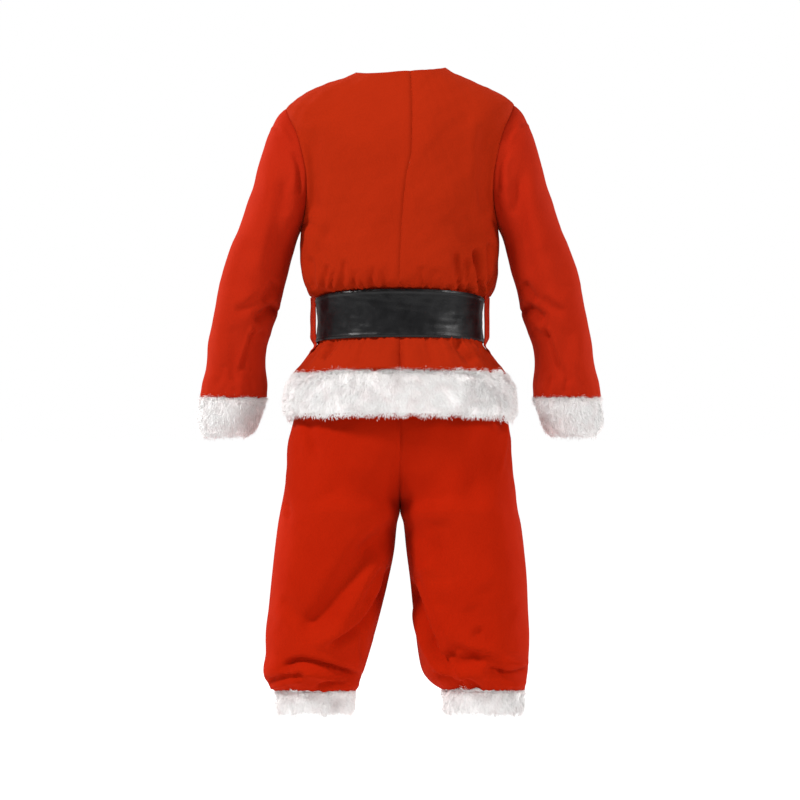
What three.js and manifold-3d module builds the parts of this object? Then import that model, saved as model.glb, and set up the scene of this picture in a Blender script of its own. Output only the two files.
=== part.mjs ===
// A santa suit worn by nobody: jacket, wide belt and knee-length trousers, all fur-trimmed.
// Millimetres. +Z is up, +X is the wearer's left, the front faces -Y.
// The origin is level with the back of the neck edge, on the axis of the body.

import * as THREE from 'three';
import { mergeVertices } from 'three/addons/utils/BufferGeometryUtils.js';
import Module from 'manifold-3d';

const wasm = await Module();
wasm.setup();

// ---------------------------------------------------------------- driving dimensions

const CLOTH = 2; // felted cloth and its nap
const SEAM = 0.3; // gap between two pieces sewn together
const FUR = 12; // backing and pile of the fur trim
const STRAP = 2.5; // belt

const HEM_Z = -530; // lower edge of the jacket cloth, at the back
const UNDERARM_Z = -276;
const SHOULDER_TIP_Z = -57;
const NECK = { back: 0, side: 7, front: -45 }; // height of the neck edge
const ARMHOLE_TURN = { back: 30, front: 36 }; // degrees that the armhole cuts in from the side
const BODY_ROUNDNESS = 2.3; // exponent of the body's sections: 2 is an ellipse
const LEG_ROUNDNESS = 2.1;

const ARMHOLE_GAP = 0.4; // sideways, because the sleeve meets the armhole at a slant

const QUARTER_COLUMNS = 6; // jacket columns from centre to side
const TUBE_COLUMNS = 16; // round a sleeve, half of them on each side of the armhole
const LEG_COLUMNS = 6; // from inside leg to side seam
const FUR_COLUMNS = 16;
const BELT_COLUMNS = 36;
const BELT_ROWS = 5;
const LOOP_COLUMNS = 4;

// The body form that the jacket lies on. width, back and front are measured from the axis.
// dip: how much lower the front lies than the back, on the same level of the cloth.
const jacketForm = [
  { level: 'fur foot', z: -612, width: 206, back: 166, front: 167, dip: 14 },
  { level: 'fur belly', z: -592, width: 211, back: 171, front: 173, dip: 14 },
  { level: 'fur head', z: -550, width: 205, back: 165, front: 167, dip: 16 },
  { level: 'hem', z: -530, width: 189, back: 150, front: 152, dip: 16 },
  { level: 'skirt', z: -510, width: 175, back: 139, front: 140, dip: 16 },
  { level: 'skirt top', z: -490, width: 160, back: 126, front: 120, dip: 17 },
  { level: 'belt foot', z: -476, width: 146, back: 112, front: 110, dip: 17 },
  { level: 'belt middle', z: -433, width: 142, back: 108, front: 109, dip: 22 },
  { level: 'belt head', z: -389, width: 144, back: 110, front: 110, dip: 26 },
  { level: 'blouse lip', z: -383, width: 160, back: 123, front: 120, dip: 20 },
  { level: 'blouse', z: -370, width: 169, back: 131, front: 131, dip: 14 },
  { level: 'waist', z: -350, width: 174, back: 134, front: 136, dip: 8 },
  { level: 'ribs', z: -313, width: 176, back: 134, front: 137, dip: 2 },
  { level: 'underarm', z: UNDERARM_Z, width: 175, back: 133, front: 134, dip: 0 },
  { level: 'shoulder blades', z: -206, width: 183, back: 133, front: 128, dip: 0 },
  { level: 'chest', z: -150, width: 194, back: 128, front: 118, dip: 0 },
  { level: 'upper chest', z: -103, width: 200, back: 118, front: 104, dip: 0 },
  { level: 'collar bone', z: -75, width: 204, back: 107, front: 92, dip: 0 },
  { level: 'shoulder tip', z: SHOULDER_TIP_Z, width: 203, back: 97, front: 84, dip: 0 },
  { level: 'shoulder', z: -45, width: 189, back: 89, front: 77, dip: 0 },
  { level: 'shoulder slope', z: -32, width: 168, back: 81, front: 69, dip: 0 },
  { level: 'neck slope', z: -18, width: 138, back: 73, front: 60, dip: 0 },
  { level: 'neck root', z: -5, width: 104, back: 65, front: 52, dip: 0 },
  { level: 'neck', z: 7, width: 80, back: 58, front: 46, dip: 0 },
];

const skirtLevels = jacketForm.map((row) => row.z).filter((z) => z >= HEM_Z && z < UNDERARM_Z);
const shoulderLevels = [-45, -32, -17];
const NECK_BLEND = [-103, -17]; // rows between these heights bend to follow the neck edge
const BODY_CORE = { width: 0.6, top: -150 }; // what the jacket's walls are thickened towards

// The sleeve below the armpit: inner and outer edge, middle and half depth of each level.
const sleeveForm = [
  { level: 'armpit', z: -313, inner: 187, outer: 301, middle: 0, depth: 72 },
  { level: 'upper arm', z: -356, inner: 198, outer: 315, middle: -2, depth: 70 },
  { level: 'above elbow', z: -399, inner: 210, outer: 326, middle: -5, depth: 67 },
  { level: 'elbow', z: -430, inner: 217, outer: 332, middle: -9, depth: 66 },
  { level: 'below elbow', z: -463, inner: 228, outer: 338, middle: -14, depth: 63 },
  { level: 'forearm', z: -490, inner: 237, outer: 343, middle: -19, depth: 61 },
  { level: 'low forearm', z: -527, inner: 240, outer: 349, middle: -26, depth: 60 },
  { level: 'wrist fullness', z: -556, inner: 238, outer: 356, middle: -31, depth: 61 },
  { level: 'cuff seam', z: -578, inner: 240, outer: 358, middle: -34, depth: 59 },
];

const sleeveCuffForm = [
  { level: 'cuff seam', z: -578 - SEAM, inner: 240, outer: 359, middle: -34, depth: 60 },
  { level: 'head', z: -586, inner: 238, outer: 362, middle: -35, depth: 63 },
  { level: 'middle', z: -614, inner: 247, outer: 367, middle: -39, depth: 62 },
  { level: 'low', z: -640, inner: 257, outer: 364, middle: -43, depth: 56 },
  { level: 'foot', z: -651, inner: 266, outer: 359, middle: -45, depth: 50 },
];

// The sleeve head: each column leaves the armhole and arrives at the armpit level along these
// slopes, over the named shares of its length.
const SLEEVE_HEAD = { rows: 4, leave: 0.14, leaveAtFold: 0.11, arrive: 0.5, spread: 0.25 };
const SHOULDER_SLOPE = new THREE.Vector3(0.85, 0, -0.53); // how the sleeve leaves the shoulder tip
const UNDERARM_SLOPE = new THREE.Vector3(0.3, 0, -0.95); // and the underarm
const ARM_SLOPE = new THREE.Vector3(0.28, 0, -0.96); // how it reaches the armpit level

// The trousers: outer and inner edge of each leg from the axis, and how far each level is a leg.
const trouserForm = [
  { level: 'waist', z: -487, outLeft: 134, outRight: 134, inLeft: 0, inRight: 0,
    back: 102, front: 102, leg: 0 },
  { level: 'high hip', z: -520, outLeft: 156, outRight: 156, inLeft: 0, inRight: 0,
    back: 118, front: 113, leg: 0 },
  { level: 'hip', z: -560, outLeft: 174, outRight: 174, inLeft: 0, inRight: 0,
    back: 130, front: 120, leg: 0 },
  { level: 'low hip', z: -612, outLeft: 187, outRight: 189, inLeft: 0, inRight: 0,
    back: 137, front: 124, leg: 0.01 },
  { level: 'seat', z: -655, outLeft: 197, outRight: 197, inLeft: 0, inRight: 0,
    back: 138, front: 124, leg: 0.05 },
  { level: 'under seat', z: -705, outLeft: 201, outRight: 199, inLeft: 0, inRight: 0,
    back: 136, front: 122, leg: 0.2 },
  { level: 'fork top', z: -745, outLeft: 206, outRight: 205, inLeft: 0, inRight: 0,
    back: 130, front: 119, leg: 0.52 },
  { level: 'fork', z: -781, outLeft: 213, outRight: 210, inLeft: 0, inRight: 0,
    back: 122, front: 115, leg: 1 },
  { level: 'under fork', z: -803, outLeft: 217, outRight: 215, inLeft: 5, inRight: 6,
    back: 118, front: 112, leg: 1 },
  { level: 'thigh', z: -850, outLeft: 223, outRight: 221, inLeft: 10, inRight: 11,
    back: 112, front: 108, leg: 1 },
  { level: 'middle thigh', z: -905, outLeft: 229, outRight: 226, inLeft: 21, inRight: 18,
    back: 107, front: 104, leg: 1 },
  { level: 'low thigh', z: -955, outLeft: 234, outRight: 228, inLeft: 33, inRight: 23,
    back: 104, front: 102, leg: 1 },
  { level: 'above knee', z: -1000, outLeft: 239, outRight: 230, inLeft: 45, inRight: 28,
    back: 103, front: 103, leg: 1 },
  { level: 'knee fold', z: -1032, outLeft: 238, outRight: 229, inLeft: 55, inRight: 32,
    back: 98, front: 101, leg: 1 },
  { level: 'knee fullness', z: -1062, outLeft: 242, outRight: 228, inLeft: 65, inRight: 38,
    back: 100, front: 101, leg: 1 },
  { level: 'gather', z: -1084, outLeft: 236, outRight: 225, inLeft: 72, inRight: 52,
    back: 90, front: 92, leg: 1 },
  { level: 'knee seam', z: -1100, outLeft: 222, outRight: 222, inLeft: 80, inRight: 76,
    back: 74, front: 76, leg: 1 },
];

const kneeCuffForm = [
  { level: 'knee seam', z: -1100 - SEAM, outLeft: 222, outRight: 223, inLeft: 79, inRight: 75,
    back: 75, front: 77, leg: 1 },
  { level: 'head', z: -1107, outLeft: 224, outRight: 225, inLeft: 77, inRight: 73,
    back: 77, front: 79, leg: 1 },
  { level: 'middle', z: -1123, outLeft: 225, outRight: 226, inLeft: 77, inRight: 73,
    back: 78, front: 80, leg: 1 },
  { level: 'low', z: -1139, outLeft: 224, outRight: 225, inLeft: 79, inRight: 75,
    back: 77, front: 79, leg: 1 },
  { level: 'foot', z: -1146, outLeft: 221, outRight: 222, inLeft: 82, inRight: 78,
    back: 74, front: 76, leg: 1 },
];

const WAISTBAND = { top: -452, foot: -487 + SEAM, wall: 3.5 };

// The largest troughs in the cloth, each from one place to another: degrees round the tube
// from its outer side through the back, height, depth and half width.
const sleeveFolds = [
  { name: 'elbow', from: [128, -408], to: [62, -438], depth: 7, width: 17 },
];
const legFolds = {
  left: [
    { name: 'knee diagonal', from: [165, -946], to: [118, -1012], depth: 9, width: 18 },
    { name: 'knee pouch', from: [35, -1058], to: [110, -1046], depth: 6, width: 14 },
  ],
  right: [
    { name: 'knee seam', from: [165, -950], to: [105, -1088], depth: 6, width: 16 },
    { name: 'knee pouch', from: [30, -1046], to: [110, -1026], depth: 7, width: 14 },
  ],
};

// Belt: a strap whose ends overlap at the front, where its buckle holds them.
// Its edges flare out from the front turns on, and its end climbs onto its start between the
// rise turns.
const BELT = {
  headZ: -391, footZ: -474, headDip: 30, footDip: 16, clear: 2.4,
  flare: 3.5, flareFrom: [30, 80], rise: [480, 515],
};
const BUCKLE = {
  width: 96, height: 92, bar: 9, depth: 4, centreBar: 3, corner: 10, windowCorner: 3,
  postInset: 3, overlap: 22, // overlap in degrees
};
const beltLevel = jacketForm.find((row) => row.level === 'belt middle');

// Shares of a belt loop's length, close together where it turns out over the belt's edges.
const LOOP = {
  width: 24, wall: 2, head: -388.5, foot: -497, bow: 13, clear: 3.3, footBend: 0.3, headBend: 0.1,
  stations: [0, 0.12, 0.24, 0.4, 0.58, 0.76, 0.88, 0.94, 0.97, 1],
};

const colours = {
  red: { color: 0xb62a10, roughness: 0.95, metalness: 0 },
  fur: { color: 0xf0eceb, roughness: 1, metalness: 0 },
  belt: { color: 0x1e1e20, roughness: 0.42, metalness: 0 },
  buckle: { color: 0xc9a24a, roughness: 0.3, metalness: 1 },
  elastic: { color: 0xa3240e, roughness: 0.95, metalness: 0 },
};

// ---------------------------------------------------------------- helpers

const radians = THREE.MathUtils.degToRad;
const { lerp, smoothstep, clamp } = THREE.MathUtils;

function range(count) {
  return [...Array(count).keys()];
}

// A value of a table at any height, joined by monotone cubics, so it never overshoots its rows.
function column(table, key) {
  const rows = [...table].sort((a, b) => a.z - b.z);
  const slopes = rows.slice(1).map((row, i) => (row[key] - rows[i][key]) / (row.z - rows[i].z));
  const tangents = rows.map((_, i) => {
    if (i === 0) return slopes[0];
    if (i === rows.length - 1) return slopes[i - 1];
    const product = slopes[i - 1] * slopes[i];
    return product <= 0 ? 0 : (2 * product) / (slopes[i - 1] + slopes[i]);
  });
  return (z) => {
    const i = clamp(rows.findIndex((row) => row.z > z) - 1, 0, rows.length - 2);
    const last = z >= rows.at(-1).z;
    const k = last ? rows.length - 2 : i;
    const span = rows[k + 1].z - rows[k].z;
    const t = clamp((z - rows[k].z) / span, 0, 1);
    return (
      rows[k][key] * (1 + 2 * t) * (1 - t) ** 2 +
      tangents[k] * span * t * (1 - t) ** 2 +
      rows[k + 1][key] * t * t * (3 - 2 * t) +
      tangents[k + 1] * span * t * t * (t - 1)
    );
  };
}

function columns(table, keys) {
  return Object.fromEntries(keys.map((key) => [key, column(table, key)]));
}

function signedPower(value, power) {
  return Math.sign(value) * Math.abs(value) ** power;
}

// A rounded section. The turn is in degrees: 0 at the back, 90 at the left side, 180 at the front.
function sectionPoint(width, back, front, roundness, turn) {
  const sine = signedPower(Math.sin(radians(turn)), 2 / roundness);
  const cosine = signedPower(Math.cos(radians(turn)), 2 / roundness);
  return new THREE.Vector2(width * sine, cosine * (cosine > 0 ? back : front));
}

// Moves the points of an edge towards their inner neighbours, to leave half of a seam's gap.
function pullEdge(edge, neighbours) {
  edge.forEach((point, i) => {
    const step = neighbours[i].clone().sub(point).setLength(SEAM / 2);
    point.add(step);
  });
}

function pullSides(grid, first = true, last = true) {
  if (first) pullEdge(grid.map((row) => row[0]), grid.map((row) => row[1]));
  if (last) pullEdge(grid.map((row) => row.at(-1)), grid.map((row) => row.at(-2)));
}

// One closed body from points and triangles, its faces turned outwards.
function closedBody(points, triangles) {
  let volume = 0;
  for (const [a, b, c] of triangles) {
    volume += points[a].dot(points[b].clone().cross(points[c]));
  }
  const index = volume > 0 ? triangles.flat() : triangles.flatMap(([a, b, c]) => [a, c, b]);
  const geometry = new THREE.BufferGeometry();
  const positions = points.flatMap((p) => [p.x, p.y, p.z]);
  geometry.setAttribute('position', new THREE.Float32BufferAttribute(positions, 3));
  geometry.setIndex(index);
  geometry.computeVertexNormals();
  return geometry;
}

// A wall between a grid of outer points and the same grid moved inwards by the thickness.
// A tube's grid closes on itself along its rows.
function wall(outer, inwards, thickness, tube = false) {
  const rows = outer.length;
  const width = outer[0].length;
  const inner = outer.map((row) =>
    row.map((p, j) => inwards(p, j).setLength(thickness).add(p)),
  );
  const points = [...outer.flat(), ...inner.flat()];
  const at = (i, j, side) => side * rows * width + i * width + (j % width);
  const triangles = [];
  const quad = (a, b, c, d) => triangles.push([a, b, c], [a, c, d]);
  const steps = tube ? width : width - 1;
  for (const i of range(rows - 1)) {
    for (const j of range(steps)) {
      quad(at(i, j, 0), at(i, j + 1, 0), at(i + 1, j + 1, 0), at(i + 1, j, 0));
      quad(at(i, j, 1), at(i + 1, j, 1), at(i + 1, j + 1, 1), at(i, j + 1, 1));
    }
  }
  for (const j of range(steps)) {
    quad(at(0, j + 1, 0), at(0, j, 0), at(0, j, 1), at(0, j + 1, 1));
    const top = rows - 1;
    quad(at(top, j, 0), at(top, j + 1, 0), at(top, j + 1, 1), at(top, j, 1));
  }
  if (!tube) {
    for (const i of range(rows - 1)) {
      const end = width - 1;
      quad(at(i, 0, 0), at(i + 1, 0, 0), at(i + 1, 0, 1), at(i, 0, 1));
      quad(at(i + 1, end, 0), at(i, end, 0), at(i, end, 1), at(i + 1, end, 1));
    }
  }
  return closedBody(points, triangles);
}

// How deep a trough lies at a place on a tube of the given radius.
function foldDepth(folds, turn, z, radius) {
  const arc = (degrees) => radians(degrees) * radius;
  return folds.reduce((depth, fold) => {
    const a = new THREE.Vector3(arc(fold.from[0]), fold.from[1], 0);
    const b = new THREE.Vector3(arc(fold.to[0]), fold.to[1], 0);
    const place = new THREE.Vector3(arc(turn), z, 0);
    const near = new THREE.Line3(a, b).closestPointToPoint(place, true, new THREE.Vector3());
    return depth + fold.depth * Math.exp(-((near.distanceTo(place) / fold.width) ** 2));
  }, 0);
}

const suit = new THREE.Group();

function add(name, geometry, finish) {
  const material = new THREE.MeshStandardMaterial(finish);
  const mesh = new THREE.Mesh(geometry, material);
  mesh.name = name;
  suit.add(mesh);
}

// The other hand of a piece.
function mirrored(geometry) {
  const copy = geometry.clone().scale(-1, 1, 1);
  const index = copy.getIndex();
  for (let i = 0; i < index.count; i += 3) {
    const second = index.getX(i + 1);
    index.setX(i + 1, index.getX(i + 2));
    index.setX(i + 2, second);
  }
  copy.computeVertexNormals();
  return copy;
}

// ---------------------------------------------------------------- jacket

const body = columns(jacketForm, ['width', 'back', 'front', 'dip']);

// A point of the body form, moved out by the given distance.
function bodyPoint(turn, z, out = 0) {
  const section = sectionPoint(
    body.width(z) + out, body.back(z) + out, body.front(z) + out, BODY_ROUNDNESS, turn,
  );
  const dip = (body.dip(z) * (1 - Math.cos(radians(turn)))) / 2;
  return new THREE.Vector3(section.x, section.y, z - dip);
}

// Cloth on the shoulders is as thick downwards as cloth on the sides is sideways.
function bodyInwards(p) {
  const core = new THREE.Vector3(p.x * BODY_CORE.width, 0, Math.min(p.z, BODY_CORE.top));
  return core.sub(p);
}

// Around the armhole: 0 at the shoulder tip, 180 under the arm.
const armholeMiddle = (SHOULDER_TIP_Z + UNDERARM_Z) / 2;
const armholeHalf = (SHOULDER_TIP_Z - UNDERARM_Z) / 2;
const armholeSteps = range(TUBE_COLUMNS / 2 + 1).map((k) => (k * 360) / TUBE_COLUMNS);

function armholeZ(angle) {
  return armholeMiddle + armholeHalf * Math.cos(radians(angle));
}

function armholeTurn(z, side) {
  const height = clamp((z - armholeMiddle) / armholeHalf, -1, 1);
  const cut = Math.sqrt(1 - height * height);
  return side === 'back' ? 90 - ARMHOLE_TURN.back * cut : 90 + ARMHOLE_TURN.front * cut;
}

// Height of the neck edge at a turn, from the back over the side to the front.
function neckZ(turn) {
  return turn < 90
    ? lerp(NECK.back, NECK.side, smoothstep(turn, 0, 90))
    : lerp(NECK.side, NECK.front, smoothstep(turn, 90, 180));
}

const armholeLevels = armholeSteps.map(armholeZ).reverse();
const bodyLevels = [...skirtLevels, ...armholeLevels, ...shoulderLevels];

// One quarter of the jacket, from the centre line to the side seam, armhole and shoulder seam.
function jacketQuarter(side) {
  const centre = side === 'back' ? 0 : 180;
  const steps = range(QUARTER_COLUMNS + 1).map((k) => k / QUARTER_COLUMNS);
  const rowAt = (level) =>
    steps.map((step) => {
      const turn = lerp(centre, armholeTurn(level, side), step);
      const follow = smoothstep(level, ...NECK_BLEND) * (1 - step ** 2);
      const slack = level > armholeMiddle ? neckZ(turn) - NECK.side : 0;
      return bodyPoint(turn, level + slack * follow);
    });
  const neckRow = steps.map((step) => {
    const turn = lerp(centre, 90, step);
    return bodyPoint(turn, neckZ(turn));
  });
  return [...bodyLevels.map(rowAt), neckRow];
}

function jacketBack() {
  const grid = jacketQuarter('back');
  pullSides(grid);
  return wall(grid, bodyInwards, CLOTH);
}

function jacketFront() {
  const half = jacketQuarter('front');
  pullSides(half, false, true);
  const flip = (p) => new THREE.Vector3(-p.x, p.y, p.z);
  const grid = half.map((row) => [...row.slice(1).map(flip).reverse(), ...row]);
  return wall(grid, bodyInwards, CLOTH);
}

const backLeft = jacketBack();
add('jacket_back_left', backLeft, colours.red);
add('jacket_back_right', mirrored(backLeft), colours.red);
add('jacket_front', jacketFront(), colours.red);

// ---------------------------------------------------------------- sleeves

const tubeAngles = range(TUBE_COLUMNS).map((k) => (k * 360) / TUBE_COLUMNS);

// A level ring: 0 degrees on the outer side, 90 at the back, 180 on the inner side.
function armRing(row, folds = []) {
  const radius = (row.outer - row.inner) / 2;
  const centre = new THREE.Vector3((row.outer + row.inner) / 2, row.middle, row.z);
  return tubeAngles.map((angle) => {
    const shrink = 1 - foldDepth(folds, angle, row.z, radius) / radius;
    const x = radius * shrink * Math.cos(radians(angle));
    const y = row.depth * shrink * Math.sin(radians(angle));
    return new THREE.Vector3(x, y, 0).add(centre);
  });
}

function armholeRing() {
  return tubeAngles.map((angle) => {
    const side = angle <= 180 ? 'back' : 'front';
    const z = armholeZ(angle);
    const point = bodyPoint(armholeTurn(z, side), z);
    point.x += ARMHOLE_GAP;
    return point;
  });
}

// The sleeve head runs from the armhole to the armpit level, each column on its own curve.
function sleeveHead(armhole, armpit) {
  const curves = armhole.map((start, k) => {
    const angle = radians(tubeAngles[k]);
    const end = armpit[k];
    const reach = start.distanceTo(end);
    const upper = (1 + Math.cos(angle)) / 2;
    const leave = UNDERARM_SLOPE.clone().lerp(SHOULDER_SLOPE, upper);
    leave.y += SLEEVE_HEAD.spread * Math.sin(angle);
    const leaving = SLEEVE_HEAD.leave + SLEEVE_HEAD.leaveAtFold * Math.sin(angle) ** 2;
    const arriving = SLEEVE_HEAD.arrive * Math.max(upper, 0.5);
    const out = leave.setLength(reach * leaving);
    const arrive = ARM_SLOPE.clone().setLength(reach * arriving);
    return new THREE.CubicBezierCurve3(start, start.clone().add(out), end.clone().sub(arrive), end);
  });
  return range(SLEEVE_HEAD.rows).map((k) =>
    curves.map((curve) => curve.getPoint((k + 1) / (SLEEVE_HEAD.rows + 1))),
  );
}

function towardsRingMiddle(grid) {
  const middles = new Map();
  grid.forEach((row) => {
    const middle = row.reduce((sum, p) => sum.add(p), new THREE.Vector3());
    middle.divideScalar(row.length);
    row.forEach((p) => middles.set(p, middle));
  });
  return (p) => middles.get(p).clone().sub(p);
}

function sleeve() {
  const rings = sleeveForm.map((row) => armRing(row, sleeveFolds));
  const start = armholeRing();
  const grid = [start, ...sleeveHead(start, rings[0]), ...rings];
  return wall(grid, towardsRingMiddle(grid), CLOTH, true);
}

function furCuff() {
  const grid = sleeveCuffForm.map((row) => armRing(row));
  return wall(grid, towardsRingMiddle(grid), FUR, true);
}

const sleeveLeft = sleeve();
add('sleeve_left', sleeveLeft, colours.red);
add('sleeve_right', mirrored(sleeveLeft), colours.red);
const cuffLeft = furCuff();
add('fur_cuff_left', cuffLeft, colours.fur);
add('fur_cuff_right', mirrored(cuffLeft), colours.fur);

// ---------------------------------------------------------------- fur round the hem

const furLevels = [HEM_Z - SEAM, -538, -550, -592, -604, -612];

// Half of the hem band: the back from side to side, or the front.
function hemFur(middleTurn) {
  const grid = furLevels.map((z) =>
    range(FUR_COLUMNS + 1).map((k) => {
      const turn = middleTurn + lerp(-90, 90, k / FUR_COLUMNS);
      return bodyPoint(turn, z, z === HEM_Z - SEAM ? FUR / 4 : 0);
    }),
  );
  pullSides(grid);
  return wall(grid, bodyInwards, FUR);
}

add('fur_hem_back', hemFur(0), colours.fur);
add('fur_hem_front', hemFur(180), colours.fur);

// ---------------------------------------------------------------- belt, loops and buckle

const beltRows = range(BELT_ROWS).map((k) => k / (BELT_ROWS - 1));
const innerLayer = STRAP + BELT.clear;
const outerLayer = innerLayer + STRAP + BUCKLE.centreBar + 4 * SEAM;

// A point of the belt's outer face: share 0 at its foot, 1 at its head. Its edges stand out
// at the back and sides, and it is flat under the buckle.
function beltPoint(turn, share, out) {
  const fromFront = Math.abs((turn % 360) - 180);
  const flare = BELT.flare * smoothstep(fromFront, ...BELT.flareFrom) * (2 * share - 1) ** 2;
  const section = sectionPoint(
    beltLevel.width + out + flare,
    beltLevel.back + out + flare,
    beltLevel.front + out + flare,
    BODY_ROUNDNESS,
    turn,
  );
  const z = lerp(BELT.footZ, BELT.headZ, share);
  const dip = lerp(BELT.footDip, BELT.headDip, share);
  return new THREE.Vector3(section.x, section.y, z - (dip * (1 - Math.cos(radians(turn)))) / 2);
}

// The strap starts behind the buckle, goes once round and ends over its own start.
function belt() {
  const start = 180 - BUCKLE.overlap;
  const end = 540 + BUCKLE.overlap;
  const grid = beltRows.map((share) =>
    range(BELT_COLUMNS + 1).map((k) => {
      const turn = lerp(start, end, k / BELT_COLUMNS);
      const out = lerp(innerLayer, outerLayer, smoothstep(turn, ...BELT.rise));
      return beltPoint(turn, share, out);
    }),
  );
  const inwards = (p) => new THREE.Vector3(-p.x * 0.4, -p.y, 0);
  return wall(grid, inwards, STRAP);
}

add('belt', belt(), colours.belt);

function solidFrom(geometry) {
  const bare = new THREE.BufferGeometry();
  bare.setAttribute('position', geometry.getAttribute('position'));
  bare.setIndex(geometry.getIndex());
  const merged = mergeVertices(bare, 1e-4);
  return new wasm.Manifold(new wasm.Mesh({
    numProp: 3,
    vertProperties: new Float32Array(merged.getAttribute('position').array),
    triVerts: new Uint32Array(merged.getIndex().array),
  }));
}

function geometryFrom(solid) {
  const mesh = solid.getMesh();
  const geometry = new THREE.BufferGeometry();
  geometry.setAttribute('position', new THREE.BufferAttribute(mesh.vertProperties, 3));
  geometry.setIndex(new THREE.BufferAttribute(mesh.triVerts, 1));
  geometry.computeVertexNormals();
  return geometry;
}

function roundedRectangle(shape, width, height, corner) {
  const x = width / 2;
  const y = height / 2;
  shape.moveTo(-x + corner, -y);
  shape.lineTo(x - corner, -y);
  shape.absarc(x - corner, -y + corner, corner, -Math.PI / 2, 0);
  shape.lineTo(x, y - corner);
  shape.absarc(x - corner, y - corner, corner, 0, Math.PI / 2);
  shape.lineTo(-x + corner, y);
  shape.absarc(-x + corner, y - corner, corner, Math.PI / 2, Math.PI);
  shape.lineTo(-x, -y + corner);
  shape.absarc(-x + corner, -y + corner, corner, Math.PI, Math.PI * 1.5);
  return shape;
}

// A flat slide buckle: the strap's end lies over the middle bar and under both side bars.
function buckle() {
  const innerWidth = BUCKLE.width - 2 * BUCKLE.bar;
  const innerHeight = BUCKLE.height - 2 * BUCKLE.bar;
  const outline = roundedRectangle(new THREE.Shape(), BUCKLE.width, BUCKLE.height, BUCKLE.corner);
  const window = new THREE.Path();
  outline.holes.push(roundedRectangle(window, innerWidth, innerHeight, BUCKLE.windowCorner));
  const frame = new THREE.ExtrudeGeometry(outline, {
    depth: BUCKLE.depth, bevelEnabled: false, curveSegments: 4,
  });
  const recess = STRAP + BUCKLE.centreBar + 4 * SEAM; // from the frame's back to the bar's back
  const postHeight = BUCKLE.bar - BUCKLE.postInset;
  const barHeight = innerHeight + 2 * postHeight;
  const bar = new THREE.BoxGeometry(BUCKLE.bar, barHeight, BUCKLE.centreBar);
  bar.translate(0, 0, BUCKLE.centreBar / 2 - recess);
  let solid = solidFrom(frame).add(solidFrom(bar));
  for (const end of [-1, 1]) {
    const post = new THREE.BoxGeometry(BUCKLE.bar, postHeight, recess + 1);
    const postY = BUCKLE.height / 2 - BUCKLE.bar + postHeight / 2;
    post.translate(0, end * postY, (1 - recess) / 2);
    solid = solid.add(solidFrom(post));
  }
  const geometry = geometryFrom(solid);
  const middleZ = (BELT.headZ - BELT.headDip + BELT.footZ - BELT.footDip) / 2;
  geometry.rotateX(Math.PI / 2);
  geometry.translate(0, -(beltLevel.front + outerLayer + 2 * SEAM), middleZ);
  return geometry;
}

add('belt_buckle', buckle(), colours.buckle);

// A strip that bows out over the belt at the side seam, sewn to the jacket above and below it.
function beltLoop() {
  const grid = LOOP.stations.map((share) => {
    const z = lerp(LOOP.foot, LOOP.head, share);
    const cloth = body.width(z) + LOOP.wall + LOOP.clear;
    const overBelt = beltLevel.width + BELT.flare + LOOP.bow + LOOP.wall;
    const bow = smoothstep(share, 0, LOOP.footBend) * smoothstep(1 - share, 0, LOOP.headBend);
    const x = lerp(cloth, Math.max(cloth, overBelt), bow);
    return range(LOOP_COLUMNS).map((j) => {
      const y = LOOP.width * (0.5 - j / (LOOP_COLUMNS - 1));
      return new THREE.Vector3(x, y, z - body.dip(z) / 2);
    });
  });
  return wall(grid, () => new THREE.Vector3(-1, 0, 0), LOOP.wall);
}

const loopLeft = beltLoop();
add('belt_loop_left', loopLeft, colours.red);
add('belt_loop_right', mirrored(loopLeft), colours.red);

// ---------------------------------------------------------------- trousers

// A point of one leg, or of its half of the hips. The turn is 0 at the inside leg or centre
// seam, 90 round the back and 180 at the side seam; the front goes round the other way.
function legPoint(form, hand, side, turn, z, folds = []) {
  const outer = form[`out${hand}`](z);
  const inner = form[`in${hand}`](z);
  const reach = form[side](z);
  const leg = form.leg(z);
  const radius = (outer - inner) / 2;
  const shrink = 1 - foldDepth(folds, 180 - turn, z, radius) / radius;
  const power = 2 / LEG_ROUNDNESS;
  const across = signedPower(-Math.cos(radians(turn)), power) * radius * shrink;
  const deep = signedPower(Math.sin(radians(turn)), power) * reach * shrink;
  const hip = sectionPoint(outer, reach, reach, BODY_ROUNDNESS, turn / 2);
  const x = lerp(hip.x, inner + radius + across, leg);
  const y = lerp(hip.y, deep, leg);
  return new THREE.Vector3(x, side === 'back' ? y : -y, z);
}

const legKeys = ['outLeft', 'outRight', 'inLeft', 'inRight', 'back', 'front', 'leg'];
const trousers = columns(trouserForm, legKeys);

// Towards the middle of the leg, or of the hips, at that height.
function legInwards(form, hand) {
  return (p) => {
    const leg = form.leg(p.z);
    const legMiddle = (form[`out${hand}`](p.z) + form[`in${hand}`](p.z)) / 2;
    return new THREE.Vector3(lerp(p.x * 0.5, legMiddle, leg) - p.x, -p.y, 0);
  };
}

function trouserPanel(hand, side) {
  const folds = side === 'back' ? legFolds[hand.toLowerCase()] : [];
  const grid = trouserForm.map((row) =>
    range(LEG_COLUMNS + 1).map((k) =>
      legPoint(trousers, hand, side, (180 * k) / LEG_COLUMNS, row.z, folds)),
  );
  pullSides(grid);
  grid.forEach((row) => {
    row[0].x = Math.max(row[0].x, SEAM / 2);
    row[0].y += (side === 'back' ? 1 : -1) * SEAM / 2;
  });
  return wall(grid, legInwards(trousers, hand), CLOTH);
}

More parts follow.
